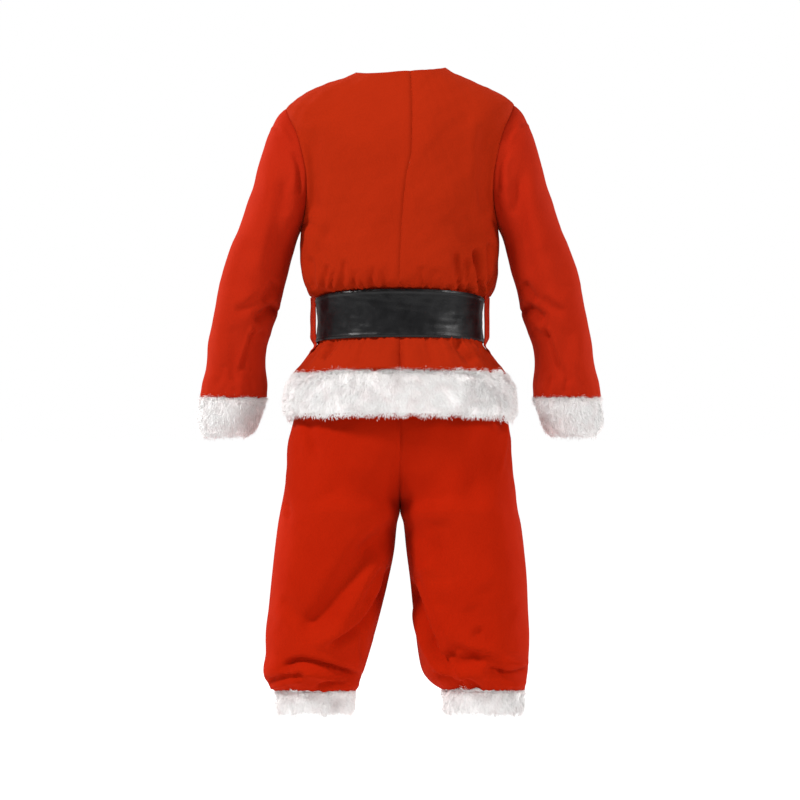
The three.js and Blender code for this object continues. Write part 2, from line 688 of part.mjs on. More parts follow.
// A ring of fur round one leg, or the elastic casing round the waist.
function legRing(table, hand, thickness) {
  const form = columns(table, legKeys);
  const half = FUR_COLUMNS / 2;
  const grid = table.map((row) => [
    ...range(half).map((k) => legPoint(form, hand, 'back', (180 * k) / half, row.z)),
    ...range(half).map((k) => legPoint(form, hand, 'front', 180 - (180 * k) / half, row.z)),
  ]);
  return wall(grid, legInwards(form, hand), thickness, true);
}

function waistband() {
  const waist = trouserForm[0];
  const grid = [WAISTBAND.foot, (WAISTBAND.foot + WAISTBAND.top) / 2, WAISTBAND.top].map((z) =>
    range(4 * QUARTER_COLUMNS).map((k) => {
      const turn = (360 * k) / (4 * QUARTER_COLUMNS);
      const p = sectionPoint(waist.outLeft, waist.back, waist.front, BODY_ROUNDNESS, turn);
      return new THREE.Vector3(p.x, p.y, z);
    }),
  );
  return wall(grid, (p) => new THREE.Vector3(-p.x, -p.y, 0), WAISTBAND.wall, true);
}

for (const hand of ['Left', 'Right']) {
  const place = (geometry) => (hand === 'Left' ? geometry : mirrored(geometry));
  const name = hand.toLowerCase();
  add(`trouser_back_${name}`, place(trouserPanel(hand, 'back')), colours.red);
  add(`trouser_front_${name}`, place(trouserPanel(hand, 'front')), colours.red);
  add(`fur_knee_${name}`, place(legRing(kneeCuffForm, hand, FUR)), colours.fur);
}
add('trouser_waistband', waistband(), colours.elastic);

export default suit;
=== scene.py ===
"""The looks of a santa suit, held hollow as worn and seen from behind.

Lengths are in millimetres until a mesh is made, and a mesh is in metres. +Z is up, the front
faces -Y and +X is the wearer's left. A turn is in degrees round the body: 0 at the back,
90 at the wearer's left and 180 at the front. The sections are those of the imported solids.
"""

import math

import bpy
import numpy as np
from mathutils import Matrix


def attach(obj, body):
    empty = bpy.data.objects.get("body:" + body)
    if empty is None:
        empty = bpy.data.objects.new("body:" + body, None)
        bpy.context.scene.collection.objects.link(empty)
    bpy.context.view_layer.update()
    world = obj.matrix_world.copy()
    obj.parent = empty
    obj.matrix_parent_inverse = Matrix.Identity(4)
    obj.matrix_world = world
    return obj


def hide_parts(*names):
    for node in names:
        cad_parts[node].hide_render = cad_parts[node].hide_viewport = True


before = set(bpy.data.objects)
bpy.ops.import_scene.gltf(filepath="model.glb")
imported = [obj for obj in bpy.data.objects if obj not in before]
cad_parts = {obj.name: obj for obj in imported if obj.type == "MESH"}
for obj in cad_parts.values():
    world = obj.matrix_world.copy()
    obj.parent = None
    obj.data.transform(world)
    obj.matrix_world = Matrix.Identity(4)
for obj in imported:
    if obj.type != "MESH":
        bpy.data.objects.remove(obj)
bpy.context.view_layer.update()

MM = 0.001
CLOTH_WALL = 1.5
SEAM = 0.3

HEM_Z = -530.0
UNDERARM_Z = -276.0
UPPER_CHEST_Z = -103.0
SHOULDER_TIP_Z = -57.0
CUFF_Z = -578.0
KNEE_Z = -1100.0
NECK = {"back": 0.0, "side": 7.0, "front": -45.0}
ARMHOLE_TURN = {"back": 30.0, "front": 36.0}
BODY_ROUNDNESS = 2.3
LEG_ROUNDNESS = 2.1

HANDS = ("left", "right")
SIDES = ("back", "front")
SIGN = {"left": 1, "right": -1}


# ---- tables of sections


def table(keys, *rows):
    """Named columns from rows that start with z, sorted upwards."""
    data = np.array(sorted(rows), float)
    return {key: data[:, i] for i, key in enumerate(keys.split())}


def column(rows, key):
    """A column as a function of height, joined by monotone cubics."""
    z, value = rows["z"], rows[key]
    slope = np.diff(value) / np.diff(z)
    tangent = np.concatenate([slope[:1], np.zeros(len(z) - 2), slope[-1:]])
    product = slope[:-1] * slope[1:]
    total = np.where(product > 0, slope[:-1] + slope[1:], 1)
    tangent[1:-1] = np.where(product > 0, 2 * product / total, 0)

    def at(height):
        h = np.clip(height, z[0], z[-1])
        i = np.clip(np.searchsorted(z, h, side="right") - 1, 0, len(z) - 2)
        span = z[i + 1] - z[i]
        t = (h - z[i]) / span
        low = value[i] * (1 + 2 * t) * (1 - t) ** 2 + tangent[i] * span * t * (1 - t) ** 2
        high = value[i + 1] * t**2 * (3 - 2 * t) + tangent[i + 1] * span * t**2 * (t - 1)
        return low + high

    return at


def columns(rows):
    return {key: column(rows, key) for key in rows if key != "z"}


BODY_ROWS = table(
    "z width back front dip",
    (-612, 206, 166, 167, 14),  # fur foot
    (-592, 211, 171, 173, 14),  # fur belly
    (-550, 205, 165, 167, 16),  # fur head
    (-530, 189, 150, 152, 16),  # hem
    (-510, 175, 139, 140, 16),  # skirt
    (-490, 160, 126, 120, 17),  # skirt top
    (-476, 146, 112, 110, 17),  # belt foot
    (-433, 142, 108, 109, 22),  # belt middle
    (-389, 144, 110, 110, 26),  # belt head
    (-383, 160, 123, 120, 20),  # blouse lip
    (-370, 169, 131, 131, 14),  # blouse
    (-350, 174, 134, 136, 8),  # waist
    (-313, 176, 134, 137, 2),  # ribs
    (UNDERARM_Z, 175, 133, 134, 0),
    (-206, 183, 133, 128, 0),  # shoulder blades
    (-150, 194, 128, 118, 0),  # chest
    (UPPER_CHEST_Z, 200, 118, 104, 0),
    (-75, 204, 107, 92, 0),  # collar bone
    (SHOULDER_TIP_Z, 203, 97, 84, 0),
    (-45, 189, 89, 77, 0),  # shoulder
    (-32, 168, 81, 69, 0),  # shoulder slope
    (-18, 138, 73, 60, 0),  # neck slope
    (-5, 104, 65, 52, 0),  # neck root
    (7, 80, 58, 46, 0),  # neck
)
SLEEVE_ROWS = table(
    "z inner outer middle depth",
    (-313, 187, 301, 0, 72),  # armpit
    (-356, 198, 315, -2, 70),  # upper arm
    (-399, 210, 326, -5, 67),  # above elbow
    (-430, 217, 332, -9, 66),  # elbow
    (-463, 228, 338, -14, 63),  # below elbow
    (-490, 237, 343, -19, 61),  # forearm
    (-527, 240, 349, -26, 60),  # low forearm
    (-556, 238, 356, -31, 61),  # wrist fullness
    (CUFF_Z, 240, 358, -34, 59),
)
CUFF_ROWS = table(
    "z inner outer middle depth",
    (CUFF_Z - SEAM, 240, 359, -34, 60),
    (-586, 238, 362, -35, 63),
    (-614, 247, 367, -39, 62),
    (-640, 257, 364, -43, 56),
    (-651, 266, 359, -45, 50),
)
LEG_KEYS = "z out_left out_right in_left in_right back front leg"
LEG_ROWS = table(
    LEG_KEYS,
    (-487, 134, 134, 0, 0, 102, 102, 0),  # waist
    (-520, 156, 156, 0, 0, 118, 113, 0),  # high hip
    (-560, 174, 174, 0, 0, 130, 120, 0),  # hip
    (-612, 187, 189, 0, 0, 137, 124, 0.01),  # low hip
    (-655, 197, 197, 0, 0, 138, 124, 0.05),  # seat
    (-705, 201, 199, 0, 0, 136, 122, 0.2),  # under seat
    (-745, 206, 205, 0, 0, 130, 119, 0.52),  # fork top
    (-781, 213, 210, 0, 0, 122, 115, 1),  # fork
    (-803, 217, 215, 5, 6, 118, 112, 1),  # under fork
    (-850, 223, 221, 10, 11, 112, 108, 1),  # thigh
    (-905, 229, 226, 21, 18, 107, 104, 1),  # middle thigh
    (-955, 234, 228, 33, 23, 104, 102, 1),  # low thigh
    (-1000, 239, 230, 45, 28, 103, 103, 1),  # above knee
    (-1032, 238, 229, 55, 32, 98, 101, 1),  # knee fold
    (-1062, 242, 228, 65, 38, 100, 101, 1),  # knee fullness
    (-1084, 236, 225, 72, 52, 90, 92, 1),  # gather
    (KNEE_Z, 222, 222, 80, 76, 74, 76, 1),
)
KNEE_ROWS = table(
    LEG_KEYS,
    (KNEE_Z - SEAM, 222, 223, 79, 75, 75, 77, 1),
    (-1107, 224, 225, 77, 73, 77, 79, 1),
    (-1123, 225, 226, 77, 73, 78, 80, 1),
    (-1139, 224, 225, 79, 75, 77, 79, 1),
    (-1146, 221, 222, 82, 78, 74, 76, 1),
)
BODY = columns(BODY_ROWS)
SLEEVE = columns(SLEEVE_ROWS)
CUFF = columns(CUFF_ROWS)
LEG = columns(LEG_ROWS)
KNEE = columns(KNEE_ROWS)


# ---- small helpers


PATH_STEPS = 10  # steps of a curve from one of its points to the next
RIPPLE_WAVES = 9


def smoothstep(value, low, high):
    t = np.clip((value - low) / (high - low), 0, 1)
    return t * t * (3 - 2 * t)


def bell(value, middle, width):
    return np.exp(-(((value - middle) / width) ** 2))


def lerp(a, b, t):
    return a + (b - a) * t


def power(value, exponent):
    return np.sign(value) * np.abs(value) ** exponent


def unit(vectors):
    return vectors / np.maximum(np.linalg.norm(vectors, axis=-1, keepdims=True), 1e-9)


def stacked(x, y, z):
    return np.stack(np.broadcast_arrays(x, y, z), axis=-1).astype(float)


def section(width, back, front, roundness, turn):
    sine = power(np.sin(np.radians(turn)), 2 / roundness)
    cosine = power(np.cos(np.radians(turn)), 2 / roundness)
    return width * sine, np.where(cosine > 0, back, front) * cosine


def even_levels(rows, step, reach):
    """Heights spaced evenly along the cloth, so that a lip gets as many as a straight side."""
    fine = np.linspace(rows["z"][0], rows["z"][-1], 2000)
    low, high = reach
    fine = np.concatenate([[low], fine[(fine > low) & (fine < high)], [high]])
    side = column(rows, "width" if "width" in rows else "back")(fine)
    run = np.concatenate([[0], np.cumsum(np.hypot(np.diff(fine), np.diff(side)))])
    return np.interp(np.linspace(0, run[-1], max(2, round(run[-1] / step))), run, fine)


def ripple(points, seed, size):
    """Soft irregular swelling over the cloth, between about -1 and 1."""
    rng = np.random.default_rng(seed)
    total = np.zeros(points.shape[:-1])
    for _ in range(RIPPLE_WAVES):
        direction = unit(rng.normal(size=3))
        length = size * rng.uniform(0.6, 1.7)
        total += np.sin(points @ direction * (2 * math.pi / length) + rng.uniform(0, 7))
    return total / math.sqrt(RIPPLE_WAVES)


def smooth_path(points):
    """A curve through given points."""
    p = np.array(points, float)
    p = np.vstack([2 * p[0] - p[1], p, 2 * p[-1] - p[-2]])
    t = np.linspace(0, 1, PATH_STEPS, endpoint=False)[:, None]
    spans = []
    for a, b, c, d in zip(p, p[1:], p[2:], p[3:]):
        square = (2 * a - 5 * b + 4 * c - d) * t**2
        cube = (3 * b - a - 3 * c + d) * t**3
        spans.append(0.5 * (2 * b + (c - a) * t + square + cube))
    return np.vstack([*spans, p[-2]])


def crease(points, path, depth, width, lip=0.0, blunt=0.18):
    """How far a crease moves the cloth outwards: a trough, with a ridge beside it.

    The path is in x and z. A negative depth is a ridge, and a negative lip a second trough."""
    line = smooth_path(path)
    place = points[..., [0, 2]]
    step = np.diff(line, axis=0)
    run = np.concatenate([[0], np.cumsum(np.linalg.norm(step, axis=1))])
    nearest = np.full(place.shape[:-1], np.inf)
    signed = np.zeros_like(nearest)
    along = np.zeros_like(nearest)
    for start, move, done in zip(line, step, run):
        length = np.linalg.norm(move)
        offset = place - start
        t = np.clip(offset @ move / length**2, 0, 1)
        away = offset - t[..., None] * move
        distance = np.linalg.norm(away, axis=-1)
        side = np.sign(move[0] * offset[..., 1] - move[1] * offset[..., 0])
        closer = distance < nearest
        nearest = np.where(closer, distance, nearest)
        signed = np.where(closer, side * distance, signed)
        along = np.where(closer, (done + t * length) / run[-1], along)
    fade = smoothstep(along, -0.02, blunt) * smoothstep(1 - along, -0.02, blunt)
    q = signed / width
    return fade * (lip * bell(q, 1.5, 1) - depth * bell(q, 0, 1))


def creases(points, rows):
    """All creases of one list, each as (path, depth, width, lip)."""
    return sum((crease(points, *row) for row in rows), np.zeros(points.shape[:-1]))


def folds(text):
    """One fold a line: its path as x z, x z and so on, then depth, half width and ridge."""
    rows = []
    for line in text.strip().splitlines():
        path, shape = line.split("|")
        points = [[float(n) for n in point.split()] for point in path.split(",")]
        rows.append((points, *(float(n) for n in shape.split())))
    return rows


def pleats(along, seed, size):
    """Uneven gathers along a seam: sharp valleys between round ridges, from -1 to 1."""
    rng = np.random.default_rng(seed)
    total = np.zeros_like(along)
    for weight, share in ((1.0, 1.0), (0.7, 0.61), (0.5, 1.73)):
        wander = 0.9 * np.sin(along * 2 * math.pi / (size * rng.uniform(5, 8)) + rng.uniform(0, 7))
        wave = along * math.pi / (size * share) + wander + rng.uniform(0, 3)
        total += weight * (2 * np.abs(np.sin(wave)) ** 0.7 - 1.1)
    return total / 1.6


def normals_of(grid, closed, middle):
    """Outward normals of a grid of points, middle being a point inside each of its points."""
    if closed:
        wrapped = np.concatenate([grid[:, -1:], grid, grid[:, :1]], axis=1)
        across = np.gradient(wrapped, axis=1)[:, 1:-1]
    else:
        across = np.gradient(grid, axis=1)
    normal = unit(np.cross(across, np.gradient(grid, axis=0)))
    facing = ((grid - middle) * normal).sum()
    return normal if facing > 0 else -normal


ALLOWANCE = 4.0  # how far a seam allowance or a tucked end is turned in
OVERLAP = 1.2
TUCK = {"jacket": 11.0, "trouser": 9.0, "sleeve": 9.0}  # how far a lower end goes in behind its fur
TUCK_DROP = (1.5, 6.0)


def with_allowances(grid, normal):
    """Adds a turned-in strip along both sides of a panel, so that its seams are closed."""
    edges = []
    for edge, beside in ((0, 1), (-1, -2)):
        beyond = unit(grid[:, edge] - grid[:, beside])
        edges.append(grid[:, edge] + beyond * OVERLAP - normal[:, edge] * ALLOWANCE)
    wide = np.concatenate([edges[0][:, None], grid, edges[1][:, None]], axis=1)
    turned = np.concatenate([normal[:, :1], normal, normal[:, -1:]], axis=1)
    return wide, turned


def with_tucked_foot(grid, normal, tuck):
    """Adds two rows under the lowest one, turned in behind the fur that is sewn on there."""
    first = grid[:1] - normal[:1] * tuck * 0.5 - [0, 0, TUCK_DROP[0]]
    second = grid[:1] - normal[:1] * tuck - [0, 0, TUCK_DROP[1]]
    return np.concatenate([second, first, grid]), np.concatenate([normal[:1], normal[:1], normal])


def add_mesh(name, points, faces, material, attributes=None):
    """An object from points in millimetres and arrays of quads or triangles."""
    mesh = bpy.data.meshes.new(name)
    loops = np.concatenate([f.ravel() for f in faces]).astype(np.int32)
    sizes = np.concatenate([np.full(len(f), f.shape[1]) for f in faces])
    starts = np.concatenate([[0], np.cumsum(sizes)[:-1]]).astype(np.int32)
    mesh.vertices.add(len(points))
    mesh.vertices.foreach_set("co", (points * MM).astype(np.float32).ravel())
    mesh.loops.add(len(loops))
    mesh.loops.foreach_set("vertex_index", loops)
    mesh.polygons.add(len(sizes))
    mesh.polygons.foreach_set("loop_start", starts)
    mesh.update(calc_edges=True)
    mesh.polygons.foreach_set("use_smooth", np.ones(len(sizes), bool))
    for key, values in (attributes or {}).items():
        layer = mesh.attributes.new(key, "FLOAT", "POINT")
        layer.data.foreach_set("value", values.astype(np.float32))
    mesh.validate()
    mesh.materials.append(material)
    piece = bpy.data.objects.new(name, mesh)
    bpy.context.scene.collection.objects.link(piece)
    return piece


def shell(name, outer, normal, thickness, material, closed=False):
    """A wall of even thickness behind a grid of outer points."""
    name = f"{name}_cloth"
    rows, width = outer.shape[:2]
    points = np.concatenate([outer.reshape(-1, 3), (outer - normal * thickness).reshape(-1, 3)])
    index = np.arange(rows * width).reshape(rows, width)
    if closed:
        index = np.concatenate([index, index[:, :1]], axis=1)
    inner = index + rows * width

    def quads(a, b, c, d):
        return np.stack([x.ravel() for x in (a, b, c, d)], axis=1)

    corner = (index[:-1, :-1], index[:-1, 1:], index[1:, 1:], index[1:, :-1])
    back = (inner[:-1, :-1], inner[1:, :-1], inner[1:, 1:], inner[:-1, 1:])
    faces = [quads(*corner), quads(*back)]
    faces.append(quads(index[0, 1:], index[0, :-1], inner[0, :-1], inner[0, 1:]))
    faces.append(quads(index[-1, :-1], index[-1, 1:], inner[-1, 1:], inner[-1, :-1]))
    if not closed:
        faces.append(quads(index[:-1, 0], index[1:, 0], inner[1:, 0], inner[:-1, 0]))
        faces.append(quads(index[1:, -1], index[:-1, -1], inner[:-1, -1], inner[1:, -1]))
    a, b, c = (points[faces[0][:, k]] for k in range(3))
    out = normal.reshape(-1, 3)[faces[0][:, 0]]
    if (np.cross(b - a, c - a) * out).sum() < 0:
        faces = [f[:, ::-1] for f in faces]
    return add_mesh(name, points, faces, material)


def finish_piece(piece, node):
    """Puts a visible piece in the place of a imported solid."""
    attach(piece, "root")
    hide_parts(node)
    return piece


def panel(node, points, normal, tuck, material):
    """A panel of a garment, with its seam allowances and its lower end turned in."""
    points, normal = with_allowances(points, normal)
    points, normal = with_tucked_foot(points, normal, tuck)
    return finish_piece(shell(node, points, normal, CLOTH_WALL, material), node)


# ---- materials


class Nodes:
    """A material's node tree, with the few kinds of node that the materials share."""

    def __init__(self, name):
        self.material = bpy.data.materials.new(name)
        self.material.use_nodes = True
        self.tree = self.material.node_tree
        self.shader = self.tree.nodes["Principled BSDF"]
        self.place = self.add("ShaderNodeTexCoord").outputs["Object"]

    def add(self, kind, **inputs):
        node = self.tree.nodes.new(kind)
        for key, value in inputs.items():
            node.inputs[key.replace("_", " ")].default_value = value
        return node

    def link(self, source, target):
        self.tree.links.new(source, target)

    def feed(self, **sources):
        """Links sources to the shader's inputs."""
        for key, source in sources.items():
            self.link(source, self.shader.inputs[key.replace("_", " ")])

    def noise(self, scale, detail=3.0, stretch=None):
        place = self.place
        if stretch:
            mapping = self.add("ShaderNodeMapping", Scale=stretch)
            self.link(place, mapping.inputs["Vector"])
            place = mapping.outputs["Vector"]
        node = self.add("ShaderNodeTexNoise", Scale=scale, Detail=detail)
        self.link(place, node.inputs["Vector"])
        return node.outputs["Fac"]

    def ramp(self, source, low, high, colours):
        node = self.tree.nodes.new("ShaderNodeValToRGB")
        for element, position, colour in zip(node.color_ramp.elements, (low, high), colours):
            element.position = position
            element.color = (*colour, 1)
        self.link(source, node.inputs["Fac"])
        return node.outputs["Color"]

    def mix(self, a, b, share, blend="MIX"):
        """Two colours mixed: the node takes them at sockets 6 and 7 and gives the result at 2."""
        node = self.tree.nodes.new("ShaderNodeMix")
        node.data_type = "RGBA"
        node.blend_type = blend
        node.inputs[0].default_value = share
        self.link(a, node.inputs[6])
        self.link(b, node.inputs[7])
        return node.outputs[2]

    def bump(self, height, strength, distance, before=None):
        node = self.add("ShaderNodeBump", Strength=strength, Distance=distance)
        self.link(height, node.inputs["Height"])
        if before:
            self.link(before, node.inputs["Normal"])
        return node.outputs["Normal"]

    def set(self, **values):
        for key, value in values.items():
            self.shader.inputs[key.replace("_", " ")].default_value = value


def linear(red, green, blue):
    """A screen colour, 0 to 255, as shader values."""
    parts = (channel / 255 for channel in (red, green, blue))
    return tuple(c / 12.92 if c < 0.04045 else ((c + 0.055) / 1.055) ** 2.4 for c in parts)


def felt(name, colour, worn, sheen):
    """Brushed polyester cloth: a matt nap of short fibres, a little uneven in tone."""
    nodes = Nodes(name)
    blotches = nodes.ramp(nodes.noise(14, 4), 0.35, 0.7, (colour, worn))
    fibres = nodes.noise(900, 2, stretch=(1, 1, 0.35))
    darker = tuple(c * 0.8 for c in colour)
    specks = nodes.ramp(fibres, 0.3, 0.62, (darker, colour))
    nap = nodes.bump(fibres, 0.25, 0.0006)
    soft = nodes.bump(nodes.noise(120), 0.12, 0.002, nap)
    nodes.feed(Base_Color=nodes.mix(blotches, specks, 0.5), Normal=soft)
    nodes.set(Roughness=0.92, Sheen_Weight=sheen, Sheen_Roughness=0.5)
    nodes.set(Sheen_Tint=(1, 0.2, 0.08, 1), Specular_IOR_Level=0.03)
    return nodes.material


def fur_cloth():
    """White faux fur, with painted shade: a little darker and pinker towards its roots, as if shaded
    by the pile and lit pink by the red cloth.
    """
    nodes = Nodes("white_fur")
    tip = nodes.add("ShaderNodeAttribute")
    tip.attribute_name = "tip"
    # painted shade: the root colour is darker and pinker than the tip's, for shade and bounced red
    # light in the pile
    root, end = linear(244, 238, 237), linear(255, 254, 253)
    along = nodes.ramp(tip.outputs["Fac"], 0.0, 0.6, (root, end))
    patches = nodes.ramp(nodes.noise(45), 0.45, 0.72, ((1, 1, 1), linear(250, 246, 246)))
    nodes.feed(Base_Color=nodes.mix(along, patches, 1, "MULTIPLY"))
    nodes.set(Roughness=0.8, Sheen_Weight=0.3, Sheen_Roughness=0.6, Specular_IOR_Level=0.2)
    return nodes.material


def faux_leather():
    """Black coated cloth, semi-gloss, with a fine grain."""
    nodes = Nodes("black_faux_leather")
    tone = nodes.ramp(nodes.noise(30, 4), 0.35, 0.7, (linear(6, 6, 8), linear(13, 13, 15)))
    gloss = nodes.ramp(nodes.noise(60), 0.3, 0.7, ((0.3,) * 3, (0.46,) * 3))
    pores = nodes.add("ShaderNodeTexVoronoi", Scale=520)
    nodes.link(nodes.place, pores.inputs["Vector"])
    grain = nodes.bump(pores.outputs["Distance"], 0.18, 0.0005)
    wrinkles = nodes.bump(nodes.noise(34, 4, stretch=(1.6, 1.6, 1)), 0.22, 0.003, grain)
    nodes.feed(Base_Color=tone, Roughness=gloss, Normal=wrinkles)
    nodes.set(Specular_IOR_Level=0.36)
    return nodes.material


def brass():
    """Bright yellow metal with fine polishing marks."""
    nodes = Nodes("buckle_metal")
    tone = nodes.ramp(nodes.noise(50), 0.3, 0.7, (linear(206, 166, 84), linear(226, 190, 110)))
    marks = nodes.noise(300, 4, stretch=(0.1, 1, 1))
    rough = nodes.ramp(marks, 0.3, 0.7, ((0.2,) * 3, (0.34,) * 3))
    nodes.feed(Base_Color=tone, Roughness=rough, Normal=nodes.bump(marks, 0.05, 0.0003))
    nodes.set(Metallic=1)
    return nodes.material


JACKET_FELT = felt("jacket_felt", linear(168, 39, 11), linear(160, 36, 9), 0.05)
SLEEVE_FELT = felt("sleeve_felt", linear(175, 37, 14), linear(167, 32, 11), 0.08)
TROUSER_FELT = felt("trouser_felt", linear(176, 31, 5), linear(167, 26, 3), 0.05)
FUR_CLOTH = fur_cloth()
LEATHER = faux_leather()
BRASS = brass()


# ---- jacket


def body_point(turn, z):
    """A point of the body form, whose levels dip towards the front."""
    x, y = section(BODY["width"](z), BODY["back"](z), BODY["front"](z), BODY_ROUNDNESS, turn)
    return stacked(x, y, z - BODY["dip"](z) * (1 - np.cos(np.radians(turn))) / 2)


ARMHOLE_MIDDLE = (SHOULDER_TIP_Z + UNDERARM_Z) / 2
ARMHOLE_HALF = (SHOULDER_TIP_Z - UNDERARM_Z) / 2
JACKET_COLUMNS = 56
JACKET_STEP = 4.5
ARMHOLE_STEP = 3  # degrees round the armhole


def armhole_turn(z, side):
    height = np.clip((z - ARMHOLE_MIDDLE) / ARMHOLE_HALF, -1, 1)
    cut = np.sqrt(1 - height**2)
    if side == "back":
        return 90 - ARMHOLE_TURN["back"] * cut
    return 90 + ARMHOLE_TURN["front"] * cut


def neck_z(turn):
    back = lerp(NECK["back"], NECK["side"], smoothstep(turn, 0, 90))
    front = lerp(NECK["side"], NECK["front"], smoothstep(turn, 90, 180))
    return np.where(turn < 90, back, front)


def jacket_quarter(side):
    """A grid from the centre line to the side seam, armhole and shoulder seam."""
    skirt = even_levels(BODY_ROWS, JACKET_STEP, (HEM_Z, UNDERARM_Z))[:-1]
    round_armhole = np.radians(np.arange(0, 180.1, ARMHOLE_STEP))
    armhole = ARMHOLE_MIDDLE - ARMHOLE_HALF * np.cos(round_armhole)
    shoulder = even_levels(BODY_ROWS, JACKET_STEP, (SHOULDER_TIP_Z, NECK["side"]))[1:]
    level = np.concatenate([skirt, armhole, shoulder])[:, None]
    share = np.linspace(0, 1, JACKET_COLUMNS)[None, :]
    centre = 0 if side == "back" else 180
    turn = lerp(centre, armhole_turn(level, side), share)
    edge = neck_z(turn) - NECK["side"]
    rise = smoothstep(level, UPPER_CHEST_Z, NECK["side"])
    follow = rise * (1 - share**2 * smoothstep(-level, 0, 30))
    slack = np.where(level > ARMHOLE_MIDDLE, edge, 0)
    return body_point(turn, level + slack * follow), turn, level


BACK_SEAM_ROWS = table(
    "z shift",
    (-540, -1),
    (-390, 1),
    (-300, -2),
    (-240, -6),
    (-195, -11),
    (-150, -20),
    (-60, -21),
    (10, -18),
)
BACK_SEAM = column(BACK_SEAM_ROWS, "shift")

# Broad soft folds: the path, the depth, the half width and the ridge or lip beside it.
BACK_DRAPES = folds("""
    148 -96, 150 -150, 146 -215, 152 -268 | 5 13 -2.5
    -150 -92, -148 -150, -146 -215, -152 -268 | 5 13 2.5
    -100 -250, -128 -300, -142 -360 | 5 14 -2
    120 -270, 140 -320, 150 -370 | 4 14 2
    4 -495, 2 -515, 2 -535 | 4 9
    1 -478, 2 -502, 3 -528 | 5 4
""")
FRONT_DRAPES = folds("""
    -40 -180, -60 -260, -70 -350 | 5 20 2
    60 -200, 70 -280, 66 -350 | 5 20 2
    120 -120, 128 -200, 120 -280 | 5 18 2
    -118 -120, -126 -200, -122 -280 | 5 18 -2
    0 -500, 2 -525, 4 -545 | 5 14
""")
SLEEVE_DRAPES = folds("""
    214 -170, 212 -240, 220 -330, 232 -380 | 6 15 2.5
    300 -450, 292 -500, 298 -560 | 5 14 2
    252 -470, 262 -520, 262 -566 | 4 12 1.5
    262 -300, 284 -345, 300 -400 | 4 18 2
""")
LEG_DRAPES = {
    "back": folds("""
    -6 -590, -6 -660, -2 -740 | 5 30
    20 -812, 44 -838, 85 -887, 120 -938, 151 -976, 186 -1002 | 16 20
    22 -836, 48 -880, 74 -924, 106 -976, 150 -1020 | -9 13
    -60 -790, -70 -850, -78 -915 | 7 20
    -36 -860, -62 -950, -92 -1012 | -6 12
    -10 -896, -30 -948, -48 -996, -64 -1036, -96 -1074 | 13 7.5 4
    -118 -940, -144 -985, -150 -1022 | 6 18
    -152 -620, -142 -700, -120 -780 | 6 22 2
    150 -640, 160 -720, 180 -800 | 5 24 2
    216 -1064, 184 -1046, 156 -1048, 130 -1056, 104 -1066, 66 -1080 | 18 8 6
    240 -1086, 208 -1078, 188 -1070, 166 -1066 | 11 5.5 4
    148 -1096, 128 -1088, 104 -1086, 84 -1090 | 9 5 3
    -76 -1026, -96 -1044, -122 -1044, -142 -1034 | 14 11
    -108 -1010, -141 -1018, -179 -1036, -200 -1043, -232 -1047 | -7 8
    -146 -1056, -172 -1064, -196 -1072, -232 -1066 | 13 9 4
    """),
    "front": folds("""
    0 -600, 2 -680, 0 -775 | 9 30
    40 -800, 90 -850, 150 -880 | 8 26 3
    -40 -800, -96 -846, -150 -884 | 8 26 -3
    60 -930, 120 -965, 190 -960 | 9 20 4
    -56 -930, -120 -960, -190 -950 | 9 20 -4
    90 -1060, 150 -1050, 220 -1060 | 9 12 5
    -80 -1062, -150 -1052, -215 -1062 | 9 12 -5
    110 -640, 120 -720, 140 -790 | 5 26 2
    -120 -640, -126 -720, -146 -790 | 5 26 2
    """),
}

# Creases of the back, in the same way, narrower and deeper.
BACK_CREASES = {
    "left": folds("""
    133 -392, 132 -372, 128 -345 | 3.5 5 1.5
    121 -392, 119 -375, 117 -360 | 2.5 4 1.2
    98 -390, 99 -366, 96 -338 | 3 5 1.5
    80 -390, 78 -372, 76 -358 | 2.2 4 1
    50 -390, 48 -370, 45 -350 | 2.4 5 1.2
    26 -390, 25 -378, 24 -366 | 1.6 4 0.8
    152 -392, 155 -365, 160 -330 | 3.5 7 1.8
    114 -478, 125 -495, 138 -512 | 5.5 5.5 2.6
    60 -480, 66 -500, 72 -526 | 2.2 8 1.5
    150 -488, 160 -505, 176 -526 | 3 8 2
    164 -120, 160 -165, 158 -215, 163 -262 | 2.4 9 1.4
    172 -262, 150 -285, 118 -300 | 2 9 1
    """),
    "right": folds("""
    -36 -390, -37 -372, -35 -350 | 2.4 5 -1.2
    -57 -390, -58 -374, -60 -356 | 2.2 4 -1
    -80 -390, -82 -376, -84 -362 | 1.8 4 -0.8
    -104 -400, -101 -366, -95 -322 | 6.5 4.5 -2.6
    -119 -400, -118 -368, -115 -330 | 5 4 -2
    -142 -402, -142 -366, -136 -316 | 11 5 -3.2
    -160 -402, -163 -356, -161 -302 | 9 5 -3
    -94 -476, -112 -499, -134 -518 | 6.5 5.5 -3
    -50 -480, -54 -500, -60 -524 | 2 8 -1.5
    -148 -486, -160 -504, -176 -526 | 3 8 -2
    -166 -112, -160 -160, -158 -210, -163 -258 | 2.6 9 -1.4
    -170 -258, -146 -290, -108 -312 | 2.2 10 -1
    -60 -70, -90 -84, -130 -86 | 1.2 9 -0.8
    """),
}
